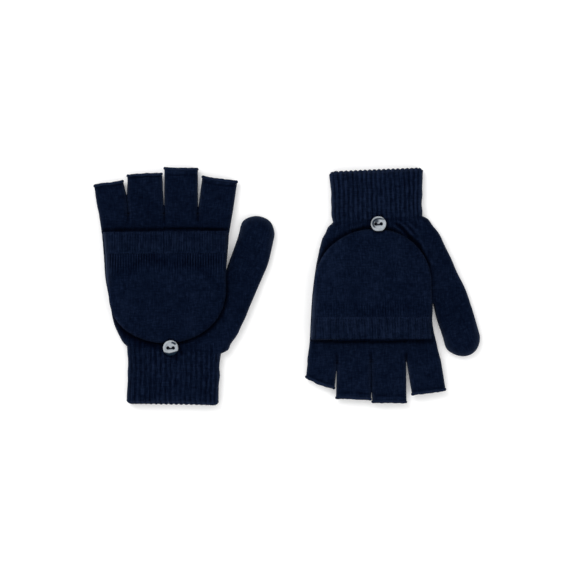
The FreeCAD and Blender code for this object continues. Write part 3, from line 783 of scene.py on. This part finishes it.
def finger_piece(m):
    """The knuckles and all four stalls in one knit, hollow at the tips."""
    step = 0.8
    end = m.hand_end
    lean = m.plan["stalls"]
    outlines = [stall_outline(m, k, step) for k in range(len(lean))]
    parts = [(straight((HAND_END_LEFT, end), tuple(outlines[0][0][0]), step), "fold")]
    webs = []
    for k, (left, tip, right) in enumerate(outlines):
        parts += [(left, "fold"), (tip, "open"), (right, "fold")]
        if k < len(lean) - 1:
            a, b = right[-1], outlines[k + 1][0][0]
            web = (a + b) / 2 - (0, 0.3)
            webs.append(web)
            parts.append((np.array([a, web, b]), "fold"))
    parts.append((straight(tuple(outlines[-1][2][-1]), (HAND_END_RIGHT, end), step), "fold"))
    parts.append((straight((HAND_END_RIGHT, end), (HAND_END_LEFT, end), step), "cut"))
    sheet = Sheet([(p[::-1], k) for p, k in parts[::-1]], step, FOLD_ROWS)
    to_tip = sheet.open

    def creases(x, y):
        """The slits run on as creases towards the cap."""
        z = np.zeros_like(x)
        for wx, wy in webs:
            beside = x - wx - 0.02 * (wy - y)
            z = z + bell(beside / 0.9) * smooth((y - wy + 11) / 8) * smooth((wy + 1 - y) / 1)
        return z

    tips = list(lean.values())
    between = [(a[3][0] + b[2][0]) / 2 for a, b in zip(tips, tips[1:])]

    def curl(x):
        return np.array(m.plan["curls"])[np.digitize(x, between)]

    def slit(x, y):
        """How near each point is to a slit whose sides touch (0 to 1), and which way the slit lies."""
        near, toward = np.zeros_like(x), np.zeros_like(x)
        for (wx, wy), opens, (_, _, right), (left, _, _) in zip(webs, m.plan["slits"], outlines, outlines[1:]):
            top = min(right[0][1], left[-1][1])
            middle = wx + (np.interp(top, left[:, 1], left[:, 0]) + np.interp(top, right[::-1, 1], right[::-1, 0])
                           - 2 * wx) / 2 * (y - wy) / (top - wy)
            reach = np.clip(1 - np.abs(x - middle) / 1.3, 0, 1) * (y > wy - 0.6) * smooth((opens + 1.0 - y) / 2)
            near = np.maximum(near, reach)
            toward += np.sign(middle - x) * reach
        return near, toward

    def layer(sign):
        def surface(x, y, d):
            return np.stack([x + slit(x, y)[1] * PRESSED, y, height(x, y, d)], 1)

        def height(x, y, d):
            tips = smooth((y - 160) / 16)
            z = STALL_MID - 0.3 * tips + sign * STALL_HALF * pillow(d, 3.8)
            soft = ripple(x, y, 14, 1.7 + m.mirrored) * 0.35 + ripple(x, y, 5, 6.1) * 0.16
            free = smooth(d / 3) * smooth((y - end) / 5)
            if sign < 0:
                under = UNDERSIDE_LIFT * smooth((y - end + 4) / 3) - 0.5 * smooth((y - m.mouth_y(x) - 4) / 4)
                return z - free * 0.3 * soft + under * smooth(d / 2)
            under_mouth = bell((y - m.mouth_y(x) - 1.0) / 1.7) * smooth(d / 2)
            pinch = bell((to_tip - curl(x)) / 0.9) * smooth(d / 2)
            return z + free * (soft - 0.1) - 1.9 * under_mouth - 0.9 * pinch - 2.2 * creases(x, y)
        return surface

    def knit(x, y):
        u = x.copy()
        for b0, b1, t0, t1 in lean.values():
            share = (y - KNUCKLE_END) / ((t0[1] + t1[1]) / 2 - KNUCKLE_END)
            lo, hi = b0 + (t0[0] - b0) * share, b1 + (t1[0] - b1) * share
            within = (y > KNUCKLE_END) & (x > lo - 1) & (x < hi + 1)
            u = np.where(within, b0 + (x - lo) / np.maximum(hi - lo, 1) * (b1 - b0), u)
        return np.stack([u, y], 1)

    points, faces, uv, fold = sheet.layers(layer(1), layer(-1), knit)
    x, y = points[:, 0], points[:, 1]
    tip_gap = np.concatenate([to_tip, to_tip[sheet.fold > 0]])
    near_slit = slit(x, y)[0]
    # no painted highlight on the folds where the stalls touch
    fold = fold + 6 * smooth(near_slit * 1.6)
    # painted shade in the creases and in a line just below each curled edge; the curled edge itself is lighter
    shade = -0.30 * creases(x, y) - 0.15 * bell((tip_gap - curl(x)) / 0.8)
    shade += 0.14 * smooth((curl(x) - 0.3 - tip_gap) / 1.2) * (0.75 + 0.5 * ripple(x, y, 3, 17.5))
    shade += m.tone["stalls"] + 0.05 * ripple(x, y, 16, 11.5 + m.mirrored)
    # painted shadow under the cap's mouth, and painted shade in the slits where the stalls touch
    shade -= 0.14 * bell((y - m.mouth_y(x)) / 2.4) - (0.18 if m.mirrored else 0.08) * near_slit
    nodes = " ".join(["knuckles", *(n + "_stall" for n in lean)])
    obj = m.piece(nodes, "hand", "finger_knit", points, faces, JERSEY, "jersey_knit", uv, fold, shade=shade)
    thicken(obj, WALL)
    gather(m, obj)


def gather(m, obj):
    """Gives the object its own copy of its mesh."""
    m.point(m.hinge_x, m.hinge_y, 0)
    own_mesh(obj)


def stall_rolls(m):
    """The cast-off edge of each stall curls into a roll."""
    for k, name in enumerate(m.plan["stalls"]):
        left, _, right = stall_outline(m, k, 0.9)
        a, b = left[-1], right[0]
        d = (b - a) / np.linalg.norm(b - a)
        up = np.array((-d[1], d[0]))
        middle = STALL_MID - 0.3
        ring, _ = stadium(a + d * 0.5, b - d * 0.5, middle - STALL_HALF + 2.4, middle + STALL_HALF - 0.42, 0.8)
        width = np.linalg.norm(b - a)
        share = ((ring[:, :2] - a) @ d) / width
        bow = TIP_SAG * (1 - (2 * share - 1) ** 2)
        wave = ripple(ring[:, 0], ring[:, 1] + ring[:, 2] * 7, 4, 2.2 + k) * 0.3
        ring[:, :2] += up * (wave - bow)[:, None]
        radius = 1.12 + ripple(ring[:, 0] * 3, ring[:, 2] * 9, 6, 4.4 + k) * 0.16
        points, faces, knit = tube(ring, radius, 12, closed=True)
        gather(m, m.piece(name + "_edge", "hand", name + "_roll", points, faces, BAND_RIB, "jersey_knit", knit,
                          np.full(len(points), 1.5), shade=np.full(len(points), 0.26)))


def thumb_piece(m):
    step = 0.95
    r = THUMB_WIDTH / 2
    inner, outer = thumb_point(0, 0), thumb_point(0, THUMB_WIDTH)
    tip_inner, tip_outer = thumb_point(THUMB_STRAIGHT, 0.5), thumb_point(THUMB_STRAIGHT, THUMB_WIDTH - 0.2)
    tip = thumb_point(THUMB_STRAIGHT + r - 0.4, r)
    sheet = Sheet([
        (straight(inner, outer, step), "cut"),
        (straight(outer, tip_outer, step), "fold"),
        (arc(tip_outer, tip, tip_inner, step), "fold"),
        (straight(tip_inner, inner, step), "fold"),
    ], step, WIDE_FOLD_ROWS)

    def layer(sign):
        def height(x, y, d):
            along, _ = thumb_coordinates(x, y)
            z = THUMB_MID + sign * THUMB_HALF * pillow(d, 4.6)
            soft = ripple(x, y, 13, 5.3 + m.mirrored) * 0.3 + ripple(x, y, 5, 9.1) * 0.12
            free = smooth(d / 4) * smooth(along / 6)
            return z + free * (soft - 0.1 if sign > 0 else 0.1)
        return height

    def knit(x, y):
        along, across = thumb_coordinates(x, y)
        return np.stack([across + 40, along], 1)

    points, faces, uv, fold = sheet.layers(layer(1), layer(-1), knit)
    x, y = points[:, 0], points[:, 1]
    tip_side = smooth((uv[:, 1] - 12) / 20)
    shade = 0.06 * ripple(x, y, 18, 13.5 + m.mirrored) + m.tone["thumb"] + 0.03 * m.mirrored * tip_side
    # the painted highlight along the folds grows towards the thumb's tip
    obj = m.mesh("thumb_knit", points, faces, JERSEY, "jersey_knit", uv, fold * (1 - 0.55 * tip_side), shade=shade)
    thicken(obj, WALL)
    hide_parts(*m.nodes("thumb thumb_crease"))
    m.body("hand")
    m.body("thumb")
    m.point(*thumb_point(0.3, r), THUMB_MID)
    m.point(*thumb_point(THUMB_GAP + 1.5, r), THUMB_MID)
    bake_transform(obj)


# ---------------------------------------------------------------- cuff
CUFF_ROUND = 4 * (CUFF_HALF - CUFF_HALF_HEIGHT) + 2 * math.pi * CUFF_HALF_HEIGHT


def rib_profile(wave):
    """A 2x2 rib, with flat crests a little wider than its valleys, from a plain wave: 1 on a rib, -1 between two."""
    return np.tanh(2.0 * wave + 0.3)


def cuff_wave(m, x):
    """The ribs across the top of the cuff."""
    pitch = CUFF_ROUND / m.plan["cuff_ribs"]
    return rib_profile(np.cos(2 * math.pi * (x + CUFF_HALF - CUFF_HALF_HEIGHT) / pitch))


def cuff_piece(m):
    """2x2 rib round the wrist, its ribs in the mesh."""
    rows = 46
    skew = m.plan["cuff_skew"]
    ring, s = stadium((-CUFF_HALF, 0), (CUFF_HALF, 0), CUFF_MID - CUFF_HALF_HEIGHT, CUFF_MID + CUFF_HALF_HEIGHT, 0.4)
    x = ring[:, 0]
    top = smooth((ring[:, 2] - CUFF_MID) / 3 + 0.5)
    end_x = np.clip((np.abs(x) - (CUFF_HALF - CUFF_HALF_HEIGHT)) / CUFF_HALF_HEIGHT, 0, 1) * np.sign(x)
    out_z = (ring[:, 2] - CUFF_MID) / CUFF_HALF_HEIGHT
    points, knit, shade, fold = [], [], [], []
    for j in range(rows + 1):
        t = j / rows
        y0 = -skew * x / CUFF_HALF + 0.2 + 0.9 * top * (1 - (x / CUFF_HALF) ** 2)
        y0 = y0 + 2.0 * np.clip((np.abs(x) - CUFF_HALF + 3.2) / 3.2, 0, 1) ** 2
        y = y0 + (m.seam_y(x) + 0.5 - y0) * t
        loose = smooth((1 - t) * 3)
        wander = loose * (0.3 * math.sin(5.5 * t + 1.0 + 2 * m.mirrored) + ripple(x * 0.4, y * 0.7, 13, 2.9) * 0.5)
        crest = rib_profile(np.cos(2 * math.pi * s / CUFF_ROUND * m.plan["cuff_ribs"] + wander))
        strength = 0.42 + (0.04 + 0.08 * m.mirrored) * loose + 0.16 * loose * ripple(x, y * 0.3, 9, 7.7)
        out = strength * crest - 0.12
        bulge = 0.5 * loose * math.sin(math.pi * t) * ripple([7.0], [40.0 * t], 9, 3.0)[0]
        sway = 0.25 * ripple(x * 0.2, y, 11, 9.9) * loose
        lift = 0.3 * math.sin(math.pi * t) * out_z
        lift = lift + 0.25 * ripple(x, y, 16, 6.6 + m.mirrored) * loose * (out_z > 0)
        z = np.maximum(ring[:, 2] + out * out_z + lift, 0)
        points.append(np.stack([x + (out + bulge) * end_x + sway, y, z], 1))
        knit.append(np.stack([s, y, np.where(out_z > 0, 1.0, -1.0)], 1))
        patchy = 1 + 0.6 * ripple(x, y * 0.5, 12, 8.1)
        # painted light on the ribs' crests and painted shade between them, in patches
        shade.append(m.plan["rib_contrast"] * crest * patchy + m.tone["cuff"]
                     - 0.04 * m.mirrored * smooth((x + 5) / 25) * smooth((16 - y) / 12))
        fold.append(np.minimum((CUFF_HALF - np.abs(x)) * 0.8 + 0.05, (y - y0) * 0.9 + 0.5))
    faces = strip_faces(rows, len(s), len(s))
    obj = m.piece("cuff", "hand", "cuff_knit", np.vstack(points), faces, CUFF_RIB, "rib_knit", np.vstack(knit),
                  np.concatenate(fold), shade=np.concatenate(shade))
    thicken(obj, RIB_WALL)
    welt(m, points[0].copy(), s)


def welt(m, ring, s):
    """The cast-on edge: a roll that scallops with the ribs."""
    wave = np.cos(2 * math.pi * s / CUFF_ROUND * m.plan["cuff_ribs"])
    ring[:, 1] += -0.1 - 0.42 * wave
    ring[:, 2] -= (ring[:, 2] - CUFF_MID) / CUFF_HALF_HEIGHT * 0.85
    end = np.clip((np.abs(ring[:, 0]) - CUFF_HALF + CUFF_HALF_HEIGHT) / CUFF_HALF_HEIGHT, 0, 1)
    ring[:, 0] -= end * np.sign(ring[:, 0]) * 0.9
    radius = 0.98 + 0.20 * wave
    points, faces, knit = tube(ring[::2], radius[::2], 12, closed=True)
    # lighter than the rib, with painted light on each scallop's crest
    shade = np.repeat(0.16 + 0.16 * wave[::2], 12)
    m.piece("cuff_edge", "hand", "cuff_welt", points, faces, BAND_RIB, "rib_knit", knit, np.full(len(points), 1.2),
            shade=shade)


# ---------------------------------------------------------------- cap
def one_sided(x, fold):
    """Distance for the painted highlight along the folds: it is stronger on the fold by the little finger than on the
    one by the thumb.
    """
    return fold * (1 - 0.5 * smooth((-x - 20) / 10)) + 1.3 * smooth((x - 10) / 10)


def cap_outline(m, step):
    """The cap's fold: down its left side, round the end and up its right side."""
    plan = m.plan
    left, right = plan["cap_left"], plan["cap_right"]
    top_left = (plan["cap_left_mouth"], m.mouth_y(plan["cap_left_mouth"]))
    top_right = (right, m.mouth_y(right))
    r_left, r_right = plan["cap_corners"]
    r_end = plan["cap_end_r"]
    tip_x, tip_y = plan["cap_tip"]
    end_y = tip_y + r_end

    def corner(cx, r):
        reach = r_end - r
        cy = end_y - math.sqrt(reach**2 - (cx - tip_x) ** 2)
        share = r_end / reach
        return cy, (tip_x + (cx - tip_x) * share, end_y + (cy - end_y) * share)

    lx, rx = left + r_left, right - r_right
    ly, left_meet = corner(lx, r_left)
    ry, right_meet = corner(rx, r_right)

    def half_way(cx, cy, r, meet, start):
        end = math.degrees(math.atan2(meet[1] - cy, meet[0] - cx)) % 360
        a = math.radians((start + end) / 2)
        return (cx + r * math.cos(a), cy + r * math.sin(a))

    return join(
        straight(top_left, (left, ly), step),
        arc((left, ly), half_way(lx, ly, r_left, left_meet, 180), left_meet, step),
        arc(left_meet, (tip_x, tip_y), right_meet, step),
        arc(right_meet, half_way(rx, ry, r_right, right_meet, 360), (right, ry), step),
        straight((right, ry), top_right, step),
    )


def ridge(m, x, y):
    """How deep the knit lies where the fold of the plan's ridge shows, 0 to about 1."""
    at_x, at_y, strength = np.array(m.plan["ridge"], float).T
    line = np.interp(x, at_x, at_y) + 0.8 * ripple(x, y * 0.2, 11, 14.5)
    return np.interp(x, at_x, strength) * bell((y - line) / 3.6)


def cap_top(m, x, y, d):
    """Height of the cap's upper layer."""
    bx, by = m.plan["button"]
    z = CAP_RIM + CAP_RISE * (0.70 * pillow(d, 3.0) + 0.30 * smooth(d / 14))
    below_band = m.mouth_y(x) - BAND_HEIGHT - y
    puff = smooth(d / 8)
    z = z - puff * (0.35 * bell((below_band - 7) / 7) + 0.8 * ridge(m, x, y))
    lumps = np.sin(2 * math.pi * x / 5.5 + 1.2 * ripple(x, y, 22, 5.5)) * bell((below_band + 2) / 9)
    z = z + puff * (0.12 + 0.12 * m.mirrored) * lumps
    z = z + puff * (ripple(x, y, 19, 4.2 + m.mirrored) * 0.45 + ripple(x, y, 7, 2.6) * 0.16)
    floor = CAP_RIM + 4.5 * smooth((y - 72) / 10) * smooth(d / 9)      # leaves room for the stalls inside
    z = np.where(z < floor + 0.5, floor + 0.25 + 0.5 * (z - floor), z)
    z = np.maximum(z, floor)
    press = np.exp(-((x - bx) ** 2 + (y - by - 2) ** 2) / 9.0**2)
    return np.where(press > 0.2, np.minimum(z, 12.2 + (1 - press) * 4.6), z)


def cap_piece(m):
    """The cap's two layers, one knitted pocket open at its mouth."""
    step = 0.85
    side = cap_outline(m, step)
    sheet = Sheet([(side, "fold"), (straight(tuple(side[-1]), tuple(side[0]), step), "open")], step,
                  FOLD_ROWS)

    def below(x, y, d):
        pulled = y - (m.mouth_y(x) - m.hinge_y + 0.5) * smooth((y - m.mouth_y(x) + 16) / 16)
        z = CAP_RIM - CAP_UNDER * pillow(d, 1.2)
        return np.stack([x, pulled, z], 1)

    points, faces, uv, fold = sheet.layers(lambda x, y, d: cap_top(m, x, y, d), below)
    x, y = points[:, 0], points[:, 1]
    below_band = m.mouth_y(x) - BAND_HEIGHT - y
    upper = uv[:, 2] > 0
    patchy = 0.7 + 0.6 * ripple(x, y, 13, 6.3 + m.mirrored)
    rib = smooth((24 - below_band) / 18) * (0.5 + 0.5 * bell((below_band - 5) / 6)) * upper * patchy
    rib *= 0.35 if m.mirrored else 1.0
    # painted shade in the hollow just below the band
    shade = -(0.03 if m.mirrored else 0.11) * bell((below_band - 5) / 6) * smooth(fold / 8) * patchy
    # painted shade along the fold that shows through below the band
    shade -= 0.15 * ridge(m, x, y) * smooth(fold / 4)
    shade += 0.045 * ripple(x * 1.4, y * 0.8, 20, 15.5 + m.mirrored) + m.tone["cap"]
    shade += m.mirrored * (0.05 * smooth((-x - 18) / 14) - 0.05 * bell((x + 19) / 6))
    # painted highlight along the cap's fold on the little finger's side
    shade += 0.14 * smooth(1 - (fold - 0.6) / 2.2) * smooth((-x - 34) / 8)
    shade *= upper
    # painted highlight along the folds, weaker towards the cap's tip
    highlight_distance = one_sided(x, fold) + 1.6 * smooth((96 - y) / 12)
    obj = m.mesh("cap_knit", points, faces, JERSEY, "jersey_knit", uv, highlight_distance, rib, shade)
    thicken(obj, WALL * 0.55, rim=True)
    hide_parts(*m.nodes("cap_back_panel cap_palm_panel"))
    stretch_with_pocket(m, obj)


def stretch_with_pocket(m, obj):
    """Bakes the object's transform into its mesh."""
    m.body("cap_back")
    m.body("cap_front")
    m.point(0, m.hinge_y, CAP_RIM)
    m.point(0, m.hinge_y, CAP_RIM + 2.6)
    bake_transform(obj)


def cap_band(m):
    """The ribbed band at the cap's mouth, its ribs in the mesh, with a lip that turns in at the mouth."""
    side = cap_outline(m, 1.0)
    a, b = side[:-1], side[1:]
    left, right, mouth = m.plan["cap_left_mouth"], m.plan["cap_right"], m.plan["cap_mouth"]
    lean = (left - m.plan["cap_left"]) / (mouth - 84)
    columns = 288
    share = np.linspace(0, 1, columns + 1)
    # each row is (height over the cap, distance from the band's lower border)
    levels = [(-0.3, 0.0), (0.30, 0.1), (0.62, 0.45), (0.66, 0.9), (0.5, 1.35)]
    levels += [(0.5, v) for v in np.linspace(2.2, BAND_HEIGHT - 1.9, 20)]
    levels += [(0.45, BAND_HEIGHT - 1.0), (0.2, BAND_HEIGHT - 0.3), (-0.4, BAND_HEIGHT + 0.2),
               (-1.2, BAND_HEIGHT + 0.3), (-2.0, BAND_HEIGHT), (-2.3, BAND_HEIGHT - 0.8), (-2.2, BAND_HEIGHT - 2.4)]
    points, knit, fold, rib, shade = [], [], [], [], []
    for rise, v in levels:
        lip = smooth((v - BAND_HEIGHT + 3) / 3)
        x0 = left + 0.05 + lean * (v - BAND_HEIGHT)
        x = x0 + (right - 0.05 - x0) * share
        top = m.mouth_y(x)
        y = top - BAND_HEIGHT + v + 0.3 * ripple(x, np.full(len(x), 30.0 * m.mirrored), 26, 1.1) * lip
        inner = np.minimum(y, top)
        d = distance(np.stack([x, inner], 1), a, b)
        phase = x + 0.35 * ripple(x, y, 16, 3.3)
        wave = np.cos(2 * math.pi * phase / BAND_PITCH)
        shown = smooth((v - 0.6) / 1.2) if rise > 0 else 0.4
        border = 0.14 * np.cos(2 * math.pi * x / 1.6) * bell((v - 0.8) / 0.6)
        z = cap_top(m, x, inner, d) + rise * smooth(d / 0.6 + 0.1) + (0.07 * wave * shown + border) * smooth(d / 1.5)
        points.append(np.stack([x, y, z], 1))
        knit.append(np.stack([phase + BAND_PITCH / 4, y, np.ones(len(x))], 1))
        fold.append(one_sided(x, d))
        rib.append(np.full(len(x), shown))
        stitches = bell((v - 0.8) / 0.8) * (0.4 + 0.8 * np.cos(2 * math.pi * x / 1.6) + 0.5 * ripple(x, y, 7, 2))
        # painted light and shade that follow the cap's lumps across the band
        swell = 0.05 * np.sin(2 * math.pi * x / 5.5 + 1.2 * ripple(x, y, 22, 5.5)) * (1 + 0.7 * m.mirrored)
        # the lip turned in at the mouth gets painted shade
        shade.append((0.08 + 0.08 * m.mirrored) * stitches + swell * shown - 0.10 * (rise < 0) + m.tone["band"])
    faces = strip_faces(len(levels) - 1, columns, columns + 1)
    obj = m.mesh("cap_band", np.vstack(points), faces, BAND_RIB, "rib_knit", np.vstack(knit),
                 np.concatenate(fold), np.concatenate(rib), np.concatenate(shade))
    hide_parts(*m.nodes("cap_rib_band"))
    stretch_with_pocket(m, obj)


def knuckle_seam(m):
    """The linked seam that the cap turns about: a row of small slanting loops."""
    left, right = m.plan["cap_left_mouth"] + 1.2, m.plan["cap_right"] - 1.2
    y, z = m.hinge_y - 0.55, 9.15
    width, length = 1.7, 1.55   # of one stitch
    t = np.linspace(0, 2 * math.pi, 14, endpoint=False)
    loop = np.stack([np.cos(t) * length * 0.62, np.sin(t) * width / 2, 0.22 * np.cos(t) + 0.12 * np.cos(2 * t)], 1)
    points, faces, knit = merge([tube(loop + (left + length * (k + 0.5), y, z), 0.27, 6, closed=True)
                                 for k in range(int((right - left) / length))])
    m.piece("cap_seam cap_hinge_thread", "hand", "knuckle_seam", points, faces, LINKING, "linking_yarn", knit)


def cap_loop(m):
    """The elastic loop at the cap's tip, round the button's stem."""
    x, turn = m.plan["button"]
    root = m.plan["cap_tip"][1] + 0.6
    half, z = 3.2, CAP_RIM - 0.15
    run = np.linspace(0, 1, 6)[:, None]
    left = np.array((x - half, root, z)) * (1 - run) + np.array((x - half, turn, z - 0.1)) * run
    a = np.linspace(math.pi, 2 * math.pi, 15)[1:-1]
    bend = np.stack([x + half * np.cos(a), turn + half * np.sin(a), np.full(len(a), z - 0.1)], 1)
    right = left[::-1] * (-1, 1, 1) + (2 * x, 0, 0)
    points, faces, knit = tube(np.vstack([left, bend, right]), 0.6, 12, twist=1.4, lobes=3, lobe_depth=0.10)
    m.piece("button_loop", "loop", "cap_loop", points, faces, ELASTIC, "elastic_cord", knit)


# ---------------------------------------------------------------- button
BUTTON_LOW = 12.8
# radius and height above the button's back, from the middle of the face, over the rim, to the middle of the back
BUTTON_PROFILE = [(0.0, 1.36), (1.4, 1.36), (2.8, 1.38), (3.5, 1.46), (3.95, 1.72), (4.3, 2.0), (4.75, 2.2),
                  (5.2, 2.14), (5.6, 1.88), (5.85, 1.45), (5.92, 1.0), (5.8, 0.55), (5.5, 0.2), (5.0, 0.04),
                  (3.0, 0.0), (0.0, 0.0)]
HOLE_R, HOLES_APART = 1.35, 4.2
# the painted dark reflection round the right button's dish: angle, radius, half width, strength
RIGHT_DARK_REFLECTION = [(232, 3.6, 0.7, 0.0), (212, 4.0, 0.8, 0.9), (183, 4.3, 1.0, 1.0), (156, 4.4, 1.1, 1.0),
                (125, 4.1, 1.0, 1.0), (90, 3.9, 0.75, 1.0), (57, 4.5, 0.7, 1.0), (38, 5.4, 0.6, 0.8), (28, 5.9, 0.5, 0)]


def painted_reflections_and_shadow(m, x, y, z):
    """How much this button is painted darker: dark reflections round its dish and on its lower rim, and a shadow just
    below the thread.
    """
    bx, by = m.plan["button"]
    dx, dy = x - bx, (y - by) * (-1 if m.mirrored else 1)
    r, angle = np.hypot(dx, dy), np.degrees(np.arctan2(dy, dx)) % 360
    face = smooth((z - BUTTON_LOW - 0.9) / 0.3)
    # painted shadow just below the thread's strands
    bridge = 0.9 * np.exp(-np.abs((dy + 0.75 - 0.12 * dx) / 0.45) ** 3) * smooth((2.2 - np.abs(dx)) / 0.4)
    if m.mirrored:
        angles, radii, widths, strengths = np.array(RIGHT_DARK_REFLECTION[::-1]).T
        beside = (r - np.interp(angle, angles, radii)) / np.interp(angle, angles, widths)
        arc_dark = np.interp(angle, angles, strengths) * np.exp(-np.abs(beside) ** 3)
        blot = 0.90 * bell(((dx + 1.6) / 1.9) ** 2 + ((dy - 2.2) / 1.7) ** 2)
        rim = 0.95 * smooth((-dy - 5.1) / 0.5)
        return np.clip(np.maximum(np.maximum(np.maximum(arc_dark, blot), bridge) * face, rim), 0, 1)
    slash = smooth((28 - np.abs(angle - 57)) / 8) * np.exp(-np.abs((r - 4.5 + 0.01 * (angle - 57)) / 0.85) ** 4)
    border = 3.55 - 0.27 * np.maximum(dx + 1.2, 0) - 0.22 * np.maximum(-1.2 - dx, 0)
    return np.clip(np.maximum(np.maximum(slash, bridge) * face, smooth((-dy - border) / 0.8)), 0, 1)


def button_piece(m):
    bx, by = m.plan["button"]
    sides = 128
    a = np.linspace(0, 2 * math.pi, sides, endpoint=False)
    profile = [BUTTON_PROFILE[0]]
    for (r0, h0), (r1, h1) in zip(BUTTON_PROFILE, BUTTON_PROFILE[1:]):
        parts = max(1, round(math.dist((r0, h0), (r1, h1)) / 0.16)) if h0 > 0.9 else 1
        profile += [(r0 + (r1 - r0) * k / parts, h0 + (h1 - h0) * k / parts) for k in range(1, parts + 1)]
    points, rows = [], []
    for r, h in profile:
        if r == 0:
            rows.append([len(points)])
            points.append((bx, by, BUTTON_LOW + h))
            continue
        rows.append(list(range(len(points), len(points) + sides)))
        points += [(bx + r * math.cos(t), by + r * math.sin(t), BUTTON_LOW + h) for t in a]
    faces = []
    for upper, lower in zip(rows[:-1], rows[1:]):
        for k in range(sides):
            j = (k + 1) % sides
            if len(upper) == 1:
                faces.append((upper[0], lower[k], lower[j]))
            elif len(lower) == 1:
                faces.append((upper[k], lower[0], upper[j]))
            else:
                faces.append((upper[k], lower[k], lower[j], upper[j]))
    points = np.array(points)
    obj = m.piece("button", "button", "button_disc", points, faces, PEARL, "button_resin", shade=painted_reflections_and_shadow(m, *points.T))
    for k in (-1, 1):
        drill(obj, m.point(bx + k * HOLES_APART / 2, by, BUTTON_LOW + 1), HOLE_R * MM, 6 * MM)


def drill(obj, centre, radius, depth):
    bm = bmesh.new()
    bmesh.ops.create_cone(bm, cap_ends=True, segments=32, radius1=radius, radius2=radius, depth=depth)
    bmesh.ops.translate(bm, vec=centre, verts=bm.verts)
    mesh = bpy.data.meshes.new("drill")
    bm.to_mesh(mesh)
    bm.free()
    tool = bpy.data.objects.new("drill", mesh)
    bpy.context.scene.collection.objects.link(tool)
    cut = obj.modifiers.new("hole", "BOOLEAN")
    cut.operation, cut.solver, cut.object = "DIFFERENCE", "EXACT", tool
    bpy.context.view_layer.update()
    made = bpy.data.meshes.new_from_object(obj.evaluated_get(bpy.context.evaluated_depsgraph_get()))
    obj.modifiers.clear()
    obj.data = made
    made.shade_smooth()
    made.set_sharp_from_angle(angle=math.radians(35))
    bpy.data.objects.remove(tool)


def button_thread(m):
    """Several strands across the two holes, and the wound stem below."""
    bx, by = m.plan["button"]
    half = HOLES_APART / 2
    face = BUTTON_LOW + 1.36
    strands = []
    t = np.linspace(0, 1, 19)
    hump = np.sin(math.pi * t) ** 0.3
    for k, (spread, lift) in enumerate(((-0.62, 0.30), (-0.3, 0.46), (0.0, 0.56), (0.32, 0.45), (0.6, 0.32),
                                        (-0.15, 0.80), (0.2, 0.78))):
        ends = np.abs(2 * t - 1) ** 1.5
        x = bx + (half + 0.12 * math.cos(3 * k)) * (2 * t - 1)
        dip = 0.35 * np.sin(math.pi * t) * (1 if m.mirrored else -1)
        y = by + 1.15 * spread * (0.2 + 0.8 * ends) + 0.08 * np.sin(6 * t + k) + dip
        z = face - 1.3 + (1.3 + lift) * hump
        strands.append(tube(np.stack([x, y, z], 1), 0.27, 8, twist=2.5, lobes=2, lobe_depth=0.12))
    points, faces, knit = merge(strands)
    m.piece("button_thread", "button", "button_stitches", points, faces, THREAD, "sewing_thread", knit)

    t = np.linspace(0, 1, 90)
    turns = 7
    foot = 9.2
    a = 2 * math.pi * turns * t
    path = np.stack([bx + 0.82 * np.cos(a), by + 0.82 * np.sin(a), foot + (BUTTON_LOW - 0.15 - foot) * t], 1)
    wound = tube(path, 0.28, 8)
    core = tube(np.array([(bx, by, foot - 0.3), (bx, by, BUTTON_LOW - 0.02)]), 0.72, 12)
    points, faces, knit = merge([wound, core])
    m.piece("button_shank", "shank", "button_stem", points, faces, THREAD, "sewing_thread", knit)


# ---------------------------------------------------------------- both mittens
for side_name, plan_of_side in (("left", LEFT), ("right", RIGHT)):
    mitten = Mitten(side_name, plan_of_side)
    for make in (hand_piece, finger_piece, stall_rolls, thumb_piece, cuff_piece, cap_piece, cap_band, knuckle_seam,
                 cap_loop, button_piece, button_thread):
        make(mitten)


# ---------------------------------------------------------------- floor, light and camera
def make_floor():
    bpy.ops.mesh.primitive_plane_add(size=6, location=(0, 0, -0.0003))
    floor = bpy.context.object
    floor.name = "floor"
    floor.data.materials.append(Nodes("floor_white").finish(
        Base_Color=(0.93, 0.93, 0.93, 1), Roughness=0.9, Specular_IOR_Level=0.0, Emission_Color=(1, 1, 1, 1),
        Emission_Strength=0.12))


def make_lights():
    world = bpy.data.worlds.new("studio")
    world.use_nodes = True
    background = world.node_tree.nodes["Background"]
    background.inputs["Color"].default_value = (1, 1, 1, 1)
    background.inputs["Strength"].default_value = 0.86
    bpy.context.scene.world = world
    for name, place, size, watts in (("low_left", (-1.3, 0.15, 0.35), 0.5, 3), ("key", (-0.9, 1.1, 1.7), 1.1, 17),
                                     ("fill", (1.1, -0.8, 1.5), 1.4, 6)):
        lamp = bpy.data.lights.new(name, "AREA")
        lamp.energy, lamp.size = watts, size
        obj = bpy.data.objects.new(name, lamp)
        obj.location = place
        obj.rotation_euler = (-Vector(place)).to_track_quat("-Z", "Y").to_euler()
        bpy.context.scene.collection.objects.link(obj)


# the width of table in view, the camera's height above it and the point right below the camera, in metres
VIEW_WIDTH, CAMERA_HEIGHT, AIM = 0.447, 2.6, (-0.0011, -0.0002)


def make_camera():
    data = bpy.data.cameras.new("camera")
    data.sensor_width = 36.0
    data.lens = data.sensor_width * CAMERA_HEIGHT / VIEW_WIDTH
    data.clip_end = 20
    camera = bpy.data.objects.new("camera", data)
    camera.location = (*AIM, CAMERA_HEIGHT)
    bpy.context.scene.collection.objects.link(camera)
    bpy.context.scene.camera = camera


make_floor()
make_lights()
make_camera()
bpy.context.scene.view_settings.view_transform = "Standard"
